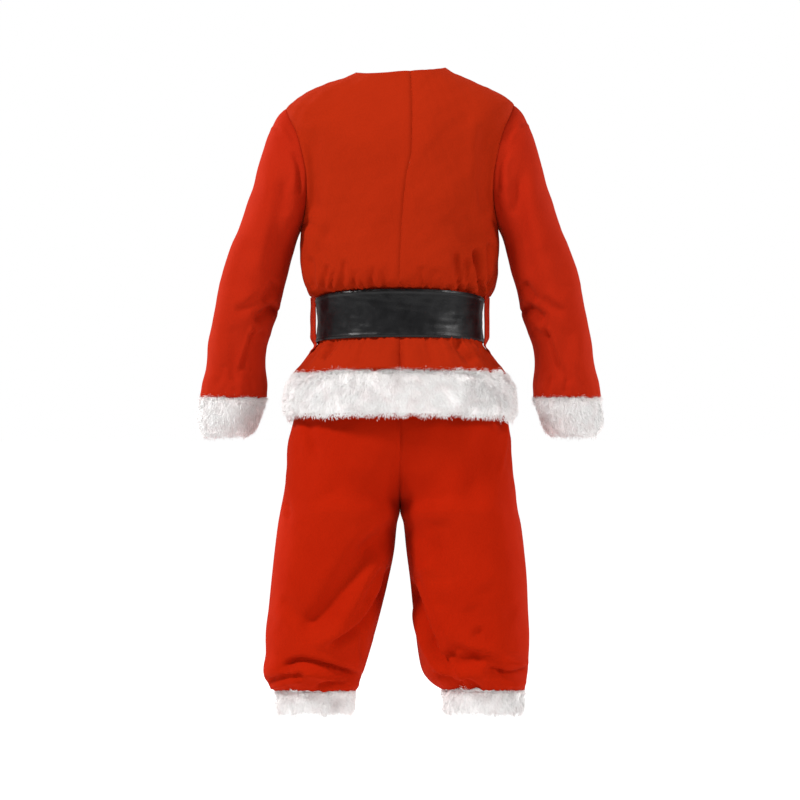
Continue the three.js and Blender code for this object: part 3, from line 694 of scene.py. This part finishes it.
# The back's centre seam: its allowance makes a raised strip, and it puckers half way down.
SEAM_WELT = [(8, -4), (8, -80), (8, -160), (5, -240), (6, -310), (5, -384)]
SEAM_PUCKER = [(-1, -200), (-2, -222), (-1, -246)]
FRONT_CREASES = folds("""
    30 -412, 34 -385, 30 -352 | 3 6 1.5
    66 -408, 70 -380, 66 -330 | 3.4 6 1.6
    -24 -412, -22 -390, -25 -365 | 2.2 5 1.2
    -58 -410, -60 -372, -54 -322 | 3.6 6 -1.6
    104 -402, 108 -372, 112 -330 | 3.4 6 1.6
    -100 -402, -106 -366, -104 -318 | 3.8 7 -1.8
    140 -396, 146 -365, 150 -325 | 3.4 6 1.6
    -140 -396, -144 -360, -146 -318 | 3.6 6 -1.6
    150 -110, 146 -150, 140 -200, 150 -255 | 3 10 1.6
    -150 -110, -146 -150, -140 -200, -150 -255 | 3 10 -1.6
    60 -60, 30 -90, -10 -104, -55 -92 | 2.4 12 1.4
    90 -500, 100 -520, 112 -540 | 3.5 9 2
    -80 -498, -90 -520, -104 -540 | 3.5 9 -2
    20 -500, 22 -520, 28 -544 | 2.6 9 1.6
""")

SHOULDER_DROP = (3.0, 9.0)  # on the right and on the left
CREASE_DEPTH = 1.7  # the tables' creases are this much deeper in brushed cloth
PANEL_WIDTH = {"jacket_back": 190, "jacket_front": 380, "trouser": 300}
SEAM_CALM = 14.0  # how far from a seam the folds reach their full depth
QUARTER_GIRTH = 250
GATHER_Z = {"blouse": -383, "skirt": -478}
UNDER_BELT_Z = {"head": -389, "foot": -470}


def at_seams(lift, share, width, sink=0.6, reach=3.0):
    """Folds die away towards a panel's sides, and the cloth rolls in beside the stitches.

    Share is 0 and 1 at the two sides of a panel of the given width."""
    near = np.minimum(share, 1 - share) * width
    return lift * smoothstep(near, -1, SEAM_CALM) - sink * bell(near, 0, reach)


def settled(points):
    """The shoulders sink a little under the cloth's own weight, the left one more."""
    left_share = smoothstep(points[..., 0], -70, 70)
    drop = lerp(*SHOULDER_DROP, left_share) * smoothstep(points[..., 2], -200, -60)
    return points - [0, 0, 1] * drop[..., None]


def gathers_by_belt(turn, level, seed, amount):
    """Short gathers over the belt's head and under its foot."""
    along = turn / 90 * QUARTER_GIRTH
    above = np.exp(-np.abs(level - GATHER_Z["blouse"]) / 16) * (level > UNDER_BELT_Z["head"])
    below = np.exp(-np.abs(level - GATHER_Z["skirt"]) / 22) * (level < UNDER_BELT_Z["foot"])
    return amount * pleats(along, seed, 17) * (3.6 * above + 2.6 * below)


def jacket_back(hand):
    sign = SIGN[hand]
    points, turn, level = jacket_quarter("back")
    points[..., 0] *= sign
    normal = normals_of(points, False, points * [0.2, 0, 1] - [0, 20, 0])
    share = np.broadcast_to(np.linspace(0, 1, points.shape[1]), turn.shape)
    lift = creases(points, BACK_CREASES[hand])
    lift += gathers_by_belt(turn * sign, level, 3, 0.8)
    lift += 1.1 * ripple(points, 11, 110) + 0.35 * ripple(points, 13, 30)
    lift += crease(points, SEAM_PUCKER, 2.4, 4.0)
    lift = at_seams(CREASE_DEPTH * lift, share, PANEL_WIDTH["jacket_back"])
    lift += creases(points, BACK_DRAPES) * smoothstep(1 - share, 0, 0.12)
    lift += crease(points, SEAM_WELT, -2.2, 4.5, 0.0, 0.02)
    shifted = points + normal * lift[..., None]
    near_seam = bell(points[..., 0], 0, 45)
    shifted[..., 0] += BACK_SEAM(points[..., 2]) * near_seam
    return panel(f"jacket_back_{hand}", settled(shifted), normal, TUCK["jacket"], JACKET_FELT)


def jacket_front():
    half, turn, level = jacket_quarter("front")
    flipped = half[:, :0:-1] * [-1, 1, 1]
    points = np.concatenate([flipped, half], axis=1)
    turns = np.concatenate([360 - turn[:, :0:-1], turn], axis=1)
    normal = normals_of(points, False, points * [0.2, 0, 1] + [0, 20, 0])
    lift = creases(points, FRONT_CREASES)
    lift += gathers_by_belt(turns, level, 5, 1.0)
    lift += 1.2 * ripple(points, 14, 100) + 0.35 * ripple(points, 15, 30)
    share = np.broadcast_to(np.linspace(0, 1, points.shape[1]), turns.shape)
    lift = CREASE_DEPTH * lift + creases(points, FRONT_DRAPES)
    lift = at_seams(lift, share, PANEL_WIDTH["jacket_front"])
    points = settled(points + normal * lift[..., None])
    return panel("jacket_front", points, normal, TUCK["jacket"], JACKET_FELT)


# ---- sleeves

TUBE_COLUMNS = 96
SLEEVE_ROWS_BELOW = 62
SLEEVE_ROWS_ABOVE = 40
ARM_GIRTH = 380
UPPER_ARM_SLIM = 9.0
FRONT_CREASE_SHIFT = (6, 0, 14)  # the front's creases are the back's, a little lower and inwards
SHOULDER_SLOPE = np.array([0.85, 0, -0.53])
UNDERARM_SLOPE = np.array([0.3, 0, -0.95])
ARM_SLOPE = np.array([0.28, 0, -0.96])

# On the wearer's left sleeve, seen from behind.
SLEEVE_CREASES = folds("""
    214 -418, 232 -430, 254 -448 | 8 5.5 -4
    214 -376, 226 -394, 240 -414 | 5 5 -2.4
    246 -402, 268 -420, 292 -430 | 2.4 9 1.4
    253 -450, 266 -484, 276 -512, 284 -536 | 3.4 3.4 2.6
    236 -458, 248 -470, 266 -474 | 2.6 7 1.4
    194 -144, 182 -158, 175 -180, 176 -226 | 3.6 7 2
    203 -96, 192 -108, 182 -128 | 2.6 7 1.4
    196 -262, 204 -230, 206 -196 | 2.2 9 1.2
    330 -560, 318 -545, 312 -520 | 1.8 6 1
    262 -572, 264 -556, 270 -536 | 2 5 1
    290 -574, 291 -560, 296 -544 | 1.8 5 1
    225 -84, 222 -92, 214 -100 | 1.6 4 0.8
""")


def arm_ring(form, z):
    """Level rings: 0 degrees on the outer side, 90 at the back, 180 on the inner side."""
    angle = np.radians(np.arange(TUBE_COLUMNS) * 360 / TUBE_COLUMNS)[None, :]
    z = z[:, None]
    radius = (form["outer"](z) - form["inner"](z)) / 2
    x = (form["outer"](z) + form["inner"](z)) / 2 + radius * np.cos(angle)
    y = form["middle"](z) + form["depth"](z) * np.sin(angle)
    return stacked(x, y, z)


def armhole_ring():
    angle = np.arange(TUBE_COLUMNS) * 360 / TUBE_COLUMNS
    z = ARMHOLE_MIDDLE + ARMHOLE_HALF * np.cos(np.radians(angle))
    turn = np.where(angle <= 180, armhole_turn(z, "back"), armhole_turn(z, "front"))
    return body_point(turn, z) + [SEAM, 0, 0]


def sleeve_head(start, end, rows):
    """Each column runs from the armhole to the armpit level on a curve of its own."""
    angle = np.radians(np.arange(TUBE_COLUMNS) * 360 / TUBE_COLUMNS)[:, None]
    reach = np.linalg.norm(end - start, axis=1, keepdims=True)
    upper = (1 + np.cos(angle)) / 2
    leave = lerp(UNDERARM_SLOPE, SHOULDER_SLOPE, upper)
    leave = unit(leave + [0, 1, 0] * (0.25 * np.sin(angle)))
    first = start + leave * reach * (0.14 + 0.11 * np.sin(angle) ** 2)
    second = end - unit(ARM_SLOPE) * reach * 0.5 * np.maximum(upper, 0.5)
    t = np.linspace(0, 1, rows)[:, None, None]
    return (
        start * (1 - t) ** 3
        + 3 * first * t * (1 - t) ** 2
        + 3 * second * t**2 * (1 - t)
        + end * t**3
    )


def sleeve(hand):
    sign = SIGN[hand]
    heights = np.linspace(SLEEVE_ROWS["z"][-1], CUFF_Z, SLEEVE_ROWS_BELOW)
    rings = arm_ring(SLEEVE, heights)
    head = sleeve_head(armhole_ring(), rings[0], SLEEVE_ROWS_ABOVE)
    points = np.concatenate([head[:-1], rings])
    middle = points.mean(axis=1, keepdims=True)
    normal = normals_of(points, True, middle)
    behind = points[..., 1] > middle[..., 1]
    in_front = 0.8 * creases(points + FRONT_CREASE_SHIFT, SLEEVE_CREASES)
    lift = np.where(behind, creases(points, SLEEVE_CREASES), in_front)
    seam = smoothstep(np.abs(points[..., 1] - middle[..., 1]), 0, 14)
    lift *= CREASE_DEPTH * lerp(0.6, 1, seam)
    lift += creases(points, SLEEVE_DRAPES) * seam
    lift += ripple(points, 21 if sign > 0 else 22, 120) * smoothstep(-points[..., 2], 60, 160)
    lift += 0.4 * ripple(points, 23, 34)
    along = np.arange(TUBE_COLUMNS) / TUBE_COLUMNS * ARM_GIRTH
    by_cuff = np.exp(-(points[..., 2] - CUFF_Z) / 14)
    lift += 1.4 * by_cuff * pleats(np.broadcast_to(along, by_cuff.shape), 24, 19)
    steps = np.diff(points, axis=0, prepend=points[:1])
    from_seam = np.cumsum(np.linalg.norm(steps, axis=2), axis=0)
    lift = lift * smoothstep(from_seam, -1, 22) - 0.3 * bell(from_seam, 0, 3)
    points = points + normal * lift[..., None]
    outer_side = smoothstep(points[..., 0] - middle[..., 0], -20, 60)
    points[..., 0] -= UPPER_ARM_SLIM * outer_side * bell(points[..., 2], -205, 80)
    flip = np.array([sign, 1, 1])
    points = settled(points * flip) * flip
    tucked = lerp(points[:1], middle[:1], 0.05) - unit(SHOULDER_SLOPE) * ALLOWANCE
    foot = points[-1:] - normal[-1:] * TUCK["sleeve"] - [0, 0, TUCK_DROP[1]]
    points = np.concatenate([tucked, points, foot])
    normal = np.concatenate([normal[:1], normal, normal[-1:]])
    name = f"sleeve_{hand}"
    piece = shell(name, points * flip, normal * flip, CLOTH_WALL, SLEEVE_FELT, closed=True)
    return finish_piece(piece, name)


# ---- trousers

LEG_COLUMNS = 56
LEG_STEP = 5.0
# Seen from behind, and for the fronts seen through the leg.
LEG_CREASES = {
    ("left", "back"): folds("""
    12 -872, 28 -922, 54 -964, 84 -992, 128 -1016 | 8.5 8 3
    66 -985, 68 -1018, 66 -1050 | 3 3.5 1.4
    202 -762, 200 -776, 199 -792 | 3 5 1.4
    28 -880, 48 -902, 62 -940 | 2.6 10 1.6
    12 -800, 40 -830, 80 -850 | 2.4 14 1.4
    160 -612, 158 -640, 150 -680 | 2.2 9 1.2
    210 -930, 180 -960, 150 -985 | 2.6 14 1.6
    100 -700, 120 -745, 160 -775 | 1.6 16 1
    """),
    ("right", "back"): folds("""
    -20 -888, -43 -943, -62 -992, -77 -1033, -133 -1096 | -2.6 4
    -22 -910, -38 -955, -55 -1002, -70 -1040 | 5 6
    -85 -1018, -125 -1024, -158 -1031, -190 -1041 | 3 7 -2
    -52 -1070, -72 -1077, -92 -1084, -114 -1097 | 6 5 -2.4
    -108 -1074, -124 -1086, -142 -1102 | 5 5 -2
    -148 -1070, -168 -1074, -190 -1071 | 4 7 -2
    -130 -986, -138 -992, -146 -994 | 2.6 7 -1.2
    -169 -612, -176 -622, -186 -636 | 3 5 -1.2
    -190 -612, -186 -660, -178 -700, -173 -720 | -1.6 4
    -40 -880, -60 -910, -74 -950 | 2.4 12 -1.4
    -12 -800, -44 -834, -84 -856 | 2.4 14 -1.4
    -150 -900, -180 -940, -210 -960 | 2 16 -1.2
    """),
    ("left", "front"): folds("""
    60 -960, 110 -985, 170 -990, 225 -975 | 5 10 3
    80 -1010, 130 -1030, 190 -1030, 232 -1015 | 5 9 3
    90 -1066, 140 -1058, 200 -1066 | 4.4 7 2.4
    14 -800, 50 -820, 100 -826 | 3 14 1.6
    20 -690, 60 -720, 110 -730 | 2.4 14 1.4
    110 -1092, 130 -1080, 150 -1090 | 2.6 5 1.2
    """),
    ("right", "front"): folds("""
    -50 -950, -100 -980, -165 -992, -222 -980 | 5 10 -3
    -60 -1015, -120 -1036, -185 -1030, -226 -1018 | 5 9 -3
    -80 -1070, -140 -1060, -205 -1064 | 4.4 7 -2.4
    -14 -800, -50 -822, -104 -832 | 3 14 -1.6
    -20 -684, -58 -712, -110 -724 | 2.4 14 -1.4
    -120 -1092, -136 -1081, -156 -1091 | 2.6 5 -1.2
    """),
}


def leg_point(form, hand, side, turn, z):
    """A leg's point: the turn is 0 inside the leg or at the centre seam, 180 at the side seam."""
    outer, inner = form[f"out_{hand}"](z), form[f"in_{hand}"](z)
    reach, leg = form[side](z), form["leg"](z)
    radius = (outer - inner) / 2
    across = power(-np.cos(np.radians(turn)), 2 / LEG_ROUNDNESS) * radius
    deep = power(np.sin(np.radians(turn)), 2 / LEG_ROUNDNESS) * reach
    hip_x, hip_y = section(outer, reach, reach, BODY_ROUNDNESS, turn / 2)
    x = lerp(hip_x, inner + radius + across, leg)
    y = lerp(hip_y, deep, leg)
    sign = SIGN[hand]
    return stacked(x * sign, y if side == "back" else -y, z)


def leg_middle(form, hand, points):
    z = points[..., 2]
    middle = (form[f"out_{hand}"](z) + form[f"in_{hand}"](z)) / 2
    sign = SIGN[hand]
    x = lerp(points[..., 0] * 0.5, sign * middle, form["leg"](z))
    return stacked(x, 0, z)


FOLD_SAG = 0.6  # how far the pouched cloth hangs over the fold below, for each mm of its lift
KNEE_RISE = 7.0
KNEE_BAND_MIDDLE_Z = -1123


def knee_rise(points):
    """The bands under the knees sit a little higher behind than in front."""
    return KNEE_RISE * np.clip(points[..., 1] / KNEE["back"](KNEE_BAND_MIDDLE_Z), 0, 1)


def trouser_panel(hand, side):
    z = even_levels(LEG_ROWS, LEG_STEP, (KNEE_Z, LEG_ROWS["z"][-1]))[:, None]
    turn = np.linspace(0, 180, LEG_COLUMNS)[None, :]
    points = leg_point(LEG, hand, side, turn, z)
    sign = SIGN[hand]
    normal = normals_of(points, False, leg_middle(LEG, hand, points))
    share = np.broadcast_to(turn / 180, points.shape[:-1])
    lift = CREASE_DEPTH * creases(points, LEG_CREASES[hand, side])
    below_hip = smoothstep(-points[..., 2], 600, 700)
    lift += 1.8 * ripple(points, 31 if sign > 0 else 32, 150) * below_hip
    lift += 0.4 * ripple(points, 33, 36)
    along = share * PANEL_WIDTH["trouser"] * sign
    by_knee = np.exp(-(points[..., 2] - KNEE_Z) / 13)
    lift += 1.7 * by_knee * pleats(along, 34 if side == "back" else 35, 18)
    by_waist = np.exp((points[..., 2] - LEG_ROWS["z"][-1]) / 40)
    lift += 1.6 * by_waist * pleats(along, 36, 15)
    lift = at_seams(lift, share, PANEL_WIDTH["trouser"], 0.9, 2.4)
    lift += creases(points, LEG_DRAPES[side]) * smoothstep(1 - share, 0, 0.1)
    sag = smoothstep(-points[..., 2], 940, 1010) * smoothstep(points[..., 2], KNEE_Z, KNEE_Z + 14)
    points[..., 2] -= FOLD_SAG * sag * lift
    points[..., 2] += knee_rise(points) * np.exp(-(points[..., 2] - KNEE_Z) / 25)
    points[:, 1:-1] += (normal * lift[..., None])[:, 1:-1]
    points[:, [0, -1], 1] += (normal[..., 1] * lift)[:, [0, -1]]
    return panel(f"trouser_{side}_{hand}", points, normal, TUCK["trouser"], TROUSER_FELT)


CASING = {"foot": -486.5, "head": -452, "width": 133, "depth": 101, "wall": 2.6}


def waistband():
    """The elastic casing: a ring of cloth, finely gathered, with a channel along its middle."""
    z = np.linspace(CASING["foot"], CASING["head"], 12)[:, None]
    turn = np.arange(240)[None, :] * 1.5
    gather = pleats(turn * 2.1, 41, 9) * 1.1
    channel = np.cos((z + 469) / 17 * math.pi) * 0.8
    width, depth = CASING["width"] + gather, CASING["depth"] + gather
    x, y = section(width + channel, depth + channel, depth, BODY_ROUNDNESS, turn)
    points = stacked(x, y, z)
    normal = normals_of(points, True, points * [0, 0, 1])
    name = "trouser_waistband"
    return finish_piece(shell(name, points, normal, CASING["wall"], TROUSER_FELT, closed=True), name)


# ---- fur

# For each band: clumps, hairs in a clump, and a hair's length.
PILE = {"hem": (1900, 24, 10.0), "cuff": (950, 22, 10.0), "knee": (800, 22, 9.0)}
STRAY_TUFTS = {"left": (191, 184), "right": (-117, -121)}
PILE_INSET = 5.0  # how far the backing lies inside the reach of the pile
BACKING = 4.0
SCATTER = 3.8  # how far a clump's hairs stand from its middle
ROOT_SHADE_TONE = 0.45  # the backing's painted shade under the pile: its tone, between that of a hair's root at 0 and its tip at 1


def pile(name, base, normal, band, seed, tufts, closed):
    """Clumps of tapered hairs on a grid whose rows run from the upper edge downwards.

    Tufts are the places along x where longer hairs stray up over the red cloth."""
    clumps, hairs, length = PILE[band]
    rng = np.random.default_rng(seed)
    wrapped, turned = base, normal
    if closed:
        wrapped = np.concatenate([base, base[:, :1]], axis=1)
        turned = np.concatenate([normal, normal[:, :1]], axis=1)
    down = unit(np.gradient(wrapped, axis=0))
    a, b, c = wrapped[:-1, :-1], wrapped[1:, :-1], wrapped[:-1, 1:]
    area = np.linalg.norm(np.cross(b - a, c - a), axis=-1).ravel()
    cell = rng.choice(area.size, clumps, p=area / area.sum())
    row, col = np.divmod(cell, wrapped.shape[1] - 1)
    u, v = rng.random((2, clumps, 1))
    edge_clumps = clumps // 9
    row[:edge_clumps] = 0
    u[:edge_clumps] = 0
    row[-edge_clumps:] = wrapped.shape[0] - 2
    u[-edge_clumps:] = 1

    def between(grid):
        top = lerp(grid[row, col], grid[row, col + 1], v)
        foot = lerp(grid[row + 1, col], grid[row + 1, col + 1], v)
        return lerp(top, foot, u)

    root, out, fall = between(wrapped), unit(between(turned)), unit(between(down))
    side = np.cross(out, fall)
    sway = 0.4 * ripple(root, seed, 70)[:, None] + 0.14 * rng.normal(size=(clumps, 1))
    rise = rng.uniform(0.42, 0.68, (clumps, 1))
    first, last = np.zeros((2, clumps, 1))
    first[:edge_clumps] = 1
    last[-edge_clumps:] = 1
    by_foot = smoothstep((row[:, None] + u) / (wrapped.shape[0] - 1), 0.8, 1)
    stray = np.zeros((clumps, 1))
    for x in tufts:
        stray += bell(root[:, :1], x, 3.5)
    stray *= first
    lean = unit(out * rise + fall * (0.75 + 0.15 * last) + side * sway * 0.8)
    lean = unit(lean + first * (out * 0.9 - fall * (0.6 + 1.2 * stray)))

    many = clumps * hairs
    pick = np.repeat(np.arange(clumps), hairs)
    scatter = rng.normal(size=(many, 2)) * SCATTER
    start = root[pick] + side[pick] * scatter[:, :1] + fall[pick] * scatter[:, 1:] - out[pick]
    clump_length = length * rng.uniform(0.82, 1.1, (clumps, 1)) * (1 - 0.55 * by_foot + stray)
    reach = clump_length[pick] * rng.uniform(0.8, 1.1, (many, 1))
    towards = unit(lean[pick] + 0.16 * rng.normal(size=(many, 3)))
    spread = side[pick] * scatter[:, :1] + fall[pick] * scatter[:, 1:]
    gathered = -0.16 * (1 - last[pick]) * spread
    middle = start + towards * reach * 0.5 + gathered * 0.35
    bend = unit(towards + 0.45 * fall[pick] - 0.15 * out[pick] + 0.12 * rng.normal(size=(many, 3)))
    end = middle + bend * reach * 0.5 + gathered * 0.65
    across = unit(np.cross(towards, out[pick]) + 0.3 * rng.normal(size=(many, 3)))
    wide = rng.uniform(0.32, 0.6, (many, 1))
    foot = (start - across * wide, start + across * wide)
    waist = (middle - across * wide * 0.8, middle + across * wide * 0.8)
    points = np.stack([*foot, *waist, end], axis=1).reshape(-1, 3)
    each = (np.arange(many) * 5)[:, None]
    faces = [each + [0, 1, 3, 2], each + [2, 3, 4]]
    tip = np.tile([0.0, 0.0, 0.55, 0.55, 1.0], many)
    piece = add_mesh(name, points, faces, FUR_CLOTH, {"tip": tip})
    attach(piece, "root")
    return piece


def fur_band(band, place, grid, middle, seed, tufts=(), closed=False):
    """A backing strip, and the pile that stands on it."""
    node = f"fur_{band}_{place}"
    normal = normals_of(grid, closed, middle)
    uneven = 0.8 * ripple(grid, seed + 50, 55)[..., None]
    base = grid - normal * (PILE_INSET - uneven)
    backing = shell(f"{node}_backing", base, normal, BACKING, FUR_CLOTH, closed)
    count = len(backing.data.vertices)
    # The backing is painted with the shaded tone of the hairs' roots.
    layer = backing.data.attributes.new("tip", "FLOAT", "POINT")
    layer.data.foreach_set("value", np.full(count, ROOT_SHADE_TONE, np.float32))
    finish_piece(backing, node)
    return backing, pile(f"{node}_pile", base, normal, band, seed, tufts, closed)


# Behind the right hip the hem's fur is pieced: a groove down the join, and a lower edge.
HEM_JOIN = [(-183, -522), (-184, -560), (-185, -618)]
HEM_STEP = 4.0
FUR_FOOT = {"hem": -607, "cuff": -647, "knee": -1142}


def hem_fur(side):
    centre = 0 if side == "back" else 180
    z = np.concatenate([np.linspace(HEM_Z - 1, -600, 17), [FUR_FOOT["hem"]]])[:, None]
    turn = centre + np.linspace(-90, 90, 121)[None, :]
    grid = body_point(turn, z)
    low = smoothstep(-z, 560, 600)
    grid[..., 2] += 1.2 * ripple(grid, 61, 90) * low
    middle = grid * [0, 0, 1]
    if side == "back":
        grid[..., 2] -= HEM_STEP * smoothstep(-grid[..., 0], 107, 113) * low
        groove = crease(grid, HEM_JOIN, 7.0, 3.5, 2.5, 0.02)
        grid += normals_of(grid, False, middle) * groove[..., None]
    return fur_band("hem", side, grid, middle, 71 + centre)


def cuff_fur(hand):
    z = np.linspace(CUFF_Z - 1, FUR_FOOT["cuff"], 15)
    grid = arm_ring(CUFF, z) * [SIGN[hand], 1, 1]
    middle = grid.mean(axis=1, keepdims=True)
    return fur_band("cuff", hand, grid, middle, 81 + SIGN[hand], closed=True)


def knee_fur(hand):
    z = np.linspace(KNEE_Z - 1, FUR_FOOT["knee"], 9)[:, None]
    half = np.linspace(0, 180, 49)[None, :]
    back = leg_point(KNEE, hand, "back", half[:, :-1], z)
    front = leg_point(KNEE, hand, "front", 180 - half[:, :-1], z)
    grid = np.concatenate([back, front], axis=1)
    grid[..., 2] += knee_rise(grid)
    middle = grid.mean(axis=1, keepdims=True)
    return fur_band("knee", hand, grid, middle, 91 + SIGN[hand], STRAY_TUFTS[hand], True)


# ---- belt

BELT = {"head": -391.0, "foot": -474.0, "head_dip": 30.0, "foot_dip": 16.0}
BELT_HEIGHT = BELT["head"] - BELT["foot"]
STRAP = 2.5
STRAP_CLEAR = 2.4
STRAP_WALL = 2.0  # the shell's, a little less than the strap's
BELT_FLARE = 3.5
BUCKLE_OVERLAP = 22.0
BUCKLE_BAR = 3.0
BELT_MIDDLE = {"width": 142.0, "back": 108.0, "front": 109.0}
INNER_LAYER = STRAP + STRAP_CLEAR
OUTER_LAYER = INNER_LAYER + STRAP + BUCKLE_BAR + 4 * SEAM


def belt_point(turn, share, out):
    from_front = np.abs(turn % 360 - 180)
    wide = out + BELT_FLARE * smoothstep(from_front, 30, 80) * (2 * share - 1) ** 2
    width, back, front = (BELT_MIDDLE[key] + wide for key in ("width", "back", "front"))
    x, y = section(width, back, front, BODY_ROUNDNESS, turn)
    dip = lerp(BELT["foot_dip"], BELT["head_dip"], share)
    z = lerp(BELT["foot"], BELT["head"], share) - dip * (1 - np.cos(np.radians(turn))) / 2
    return stacked(x, y, z)


def belt():
    """The strap, with rolled edges and a stitched groove, lapped at the front."""
    turn = np.linspace(180 - BUCKLE_OVERLAP, 540 + BUCKLE_OVERLAP, 300)[None, :]
    share = (1 - np.cos(np.linspace(0, math.pi, 40)))[:, None] / 2
    out = lerp(INNER_LAYER, OUTER_LAYER, smoothstep(turn, 480, 515))
    points = belt_point(turn, share, out)
    normal = normals_of(points, False, points * [0, 0, 1])
    from_edge = np.minimum(share, 1 - share) * BELT_HEIGHT
    rolled = -1.3 * bell(from_edge, 0, 1.6) + 0.5 * bell(from_edge, 4, 2.2)
    groove = -0.55 * bell(from_edge, 7.5, 0.9)
    soft = 0.5 * ripple(points, 51, 70) + 0.3 * ripple(points * [1, 1, 2.5], 52, 30)
    free = smoothstep(np.abs(turn % 360 - 180), 18, 40)
    points = points + normal * (rolled + groove + soft * free)[..., None]
    strap_piece = shell("belt", points, normal, STRAP_WALL, LEATHER)
    return finish_piece(strap_piece, "belt")


LOOP = {"width": 24.0, "wall": 2.0, "head": -385.0, "foot": -495.0, "bow": 13.0, "clear": 0.6}
LOOP_SEWN_IN = 4.0
LOOP_SHELL = 1.6


def belt_loop(hand):
    """A strip that stands out past the belt, sewn in at the side seam."""
    sign = SIGN[hand]
    share = np.linspace(0, 1, 60)[:, None]
    y = np.linspace(LOOP["width"] / 2, -LOOP["width"] / 2, 11)[None, :]
    z = lerp(LOOP["foot"], LOOP["head"], share)
    cloth = BODY["width"](z) + LOOP["wall"] + LOOP["clear"]
    over = BELT_MIDDLE["width"] + BELT_FLARE + LOOP["bow"] + LOOP["wall"]
    bow = smoothstep(share, 0.04, 0.3) * smoothstep(1 - share, 0, 0.03)
    twist = 0.4 * (y + LOOP["width"] / 2) * bow
    sewn_in = LOOP_SEWN_IN * (1 - smoothstep(share, 0, 0.12))
    x = lerp(cloth, np.maximum(cloth, over), bow) - twist - sewn_in
    points = stacked(x * sign, y + 0 * x, z - BODY["dip"](z) / 2)
    normal = normals_of(points, False, points * [0, 1, 1])
    lift = 0.5 * ripple(points, 55, 40) - 0.6 * bell(LOOP["width"] / 2 - np.abs(y), 0, 1.2)
    points = points + normal * lift[..., None]
    name = f"belt_loop_{hand}"
    return finish_piece(shell(name, points, normal, LOOP_SHELL, SLEEVE_FELT), name)


# ---- stage

SENSOR = 36  # mm
CAMERA_DISTANCE = 5.0
SEEN_WIDTH = 1.424  # metres across the picture at the suit
EYE_Z = -0.584
SOLE_Z = -1556.0
FLOOR_REACH = 60000.0
AIM_Z = -0.55
WORLD_STRENGTH = 0.3
# Place in metres, watts and the side of the softbox: two behind the suit and two in front.
SOFTBOXES = (
    (3.0, 2.2, 2.9, 215, 0.8),
    (-3.2, 2.1, 1.2, 78, 1.3),
    (3.0, -2.4, 1.5, 112, 1.2),
    (-3.2, -2.2, 0.7, 68, 1.4),
)


def camera():
    """Level, straight behind the suit, with a long lens."""
    data = bpy.data.cameras.new("camera")
    item = bpy.data.objects.new("camera", data)
    bpy.context.scene.collection.objects.link(item)
    data.sensor_width = SENSOR
    data.lens = SENSOR * CAMERA_DISTANCE / SEEN_WIDTH
    item.location = (0, CAMERA_DISTANCE, EYE_Z)
    item.rotation_euler = (math.radians(90), 0, math.radians(180))
    bpy.context.scene.camera = item


def lights():
    """A dim world that the camera sees as white, and four softboxes."""
    world = bpy.data.worlds.new("studio")
    bpy.context.scene.world = world
    world.use_nodes = True
    tree = world.node_tree
    soft = tree.nodes["Background"]
    bright = tree.nodes.new("ShaderNodeBackground")
    for background, strength in ((soft, WORLD_STRENGTH), (bright, 1.0)):
        background.inputs["Color"].default_value = (1, 1, 1, 1)
        background.inputs["Strength"].default_value = strength
    path = tree.nodes.new("ShaderNodeLightPath")
    mix = tree.nodes.new("ShaderNodeMixShader")
    tree.links.new(path.outputs["Is Camera Ray"], mix.inputs[0])
    tree.links.new(soft.outputs[0], mix.inputs[1])
    tree.links.new(bright.outputs[0], mix.inputs[2])
    tree.links.new(mix.outputs[0], tree.nodes["World Output"].inputs["Surface"])
    for x, y, z, watts, size in SOFTBOXES:
        data = bpy.data.lights.new("softbox", "AREA")
        data.energy = watts
        data.size = size
        item = bpy.data.objects.new("softbox", data)
        bpy.context.scene.collection.objects.link(item)
        item.location = (x, y, z)
        aim = np.array([0, 0, AIM_Z]) - [x, y, z]
        tilt = math.atan2(math.hypot(aim[0], aim[1]), -aim[2])
        item.rotation_euler = (tilt, 0, math.atan2(aim[1], aim[0]) - math.pi / 2)


def floor():
    """A pale floor at the height of the wearer's soles."""
    nodes = Nodes("floor")
    tone = nodes.ramp(nodes.noise(3, 2), 0.3, 0.7, ((0.93,) * 3, (0.95,) * 3))
    nodes.set(Roughness=0.9, Emission_Color=(1, 1, 1, 1))
    seen = nodes.add("ShaderNodeMath")
    seen.operation = "MULTIPLY"
    seen.inputs[1].default_value = 0.75
    nodes.link(nodes.add("ShaderNodeLightPath").outputs["Is Camera Ray"], seen.inputs[0])
    nodes.feed(Base_Color=tone, Emission_Strength=seen.outputs[0])
    square = np.array([[-1, -1, 0], [1, -1, 0], [1, 1, 0], [-1, 1, 0]])
    corners = square * FLOOR_REACH + [0, 0, SOLE_Z]
    add_mesh("floor", corners, [np.array([[0, 1, 2, 3]])], nodes.material)


# ---- the suit

camera()
lights()
floor()
bpy.context.scene.view_settings.view_transform = "Standard"

backs = [jacket_back(hand) for hand in HANDS]
front = jacket_front()
sleeves = [sleeve(hand) for hand in HANDS]
panels = [trouser_panel(hand, side) for hand in HANDS for side in SIDES]
casing = waistband()
hems = {side: hem_fur(side) for side in SIDES}
cuffs = {hand: cuff_fur(hand) for hand in HANDS}
knees = {hand: knee_fur(hand) for hand in HANDS}
strap = belt()
loops = [belt_loop(hand) for hand in HANDS]
buckle_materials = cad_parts["belt_buckle"].data.materials
for index in range(len(buckle_materials)):
    buckle_materials[index] = BRASS
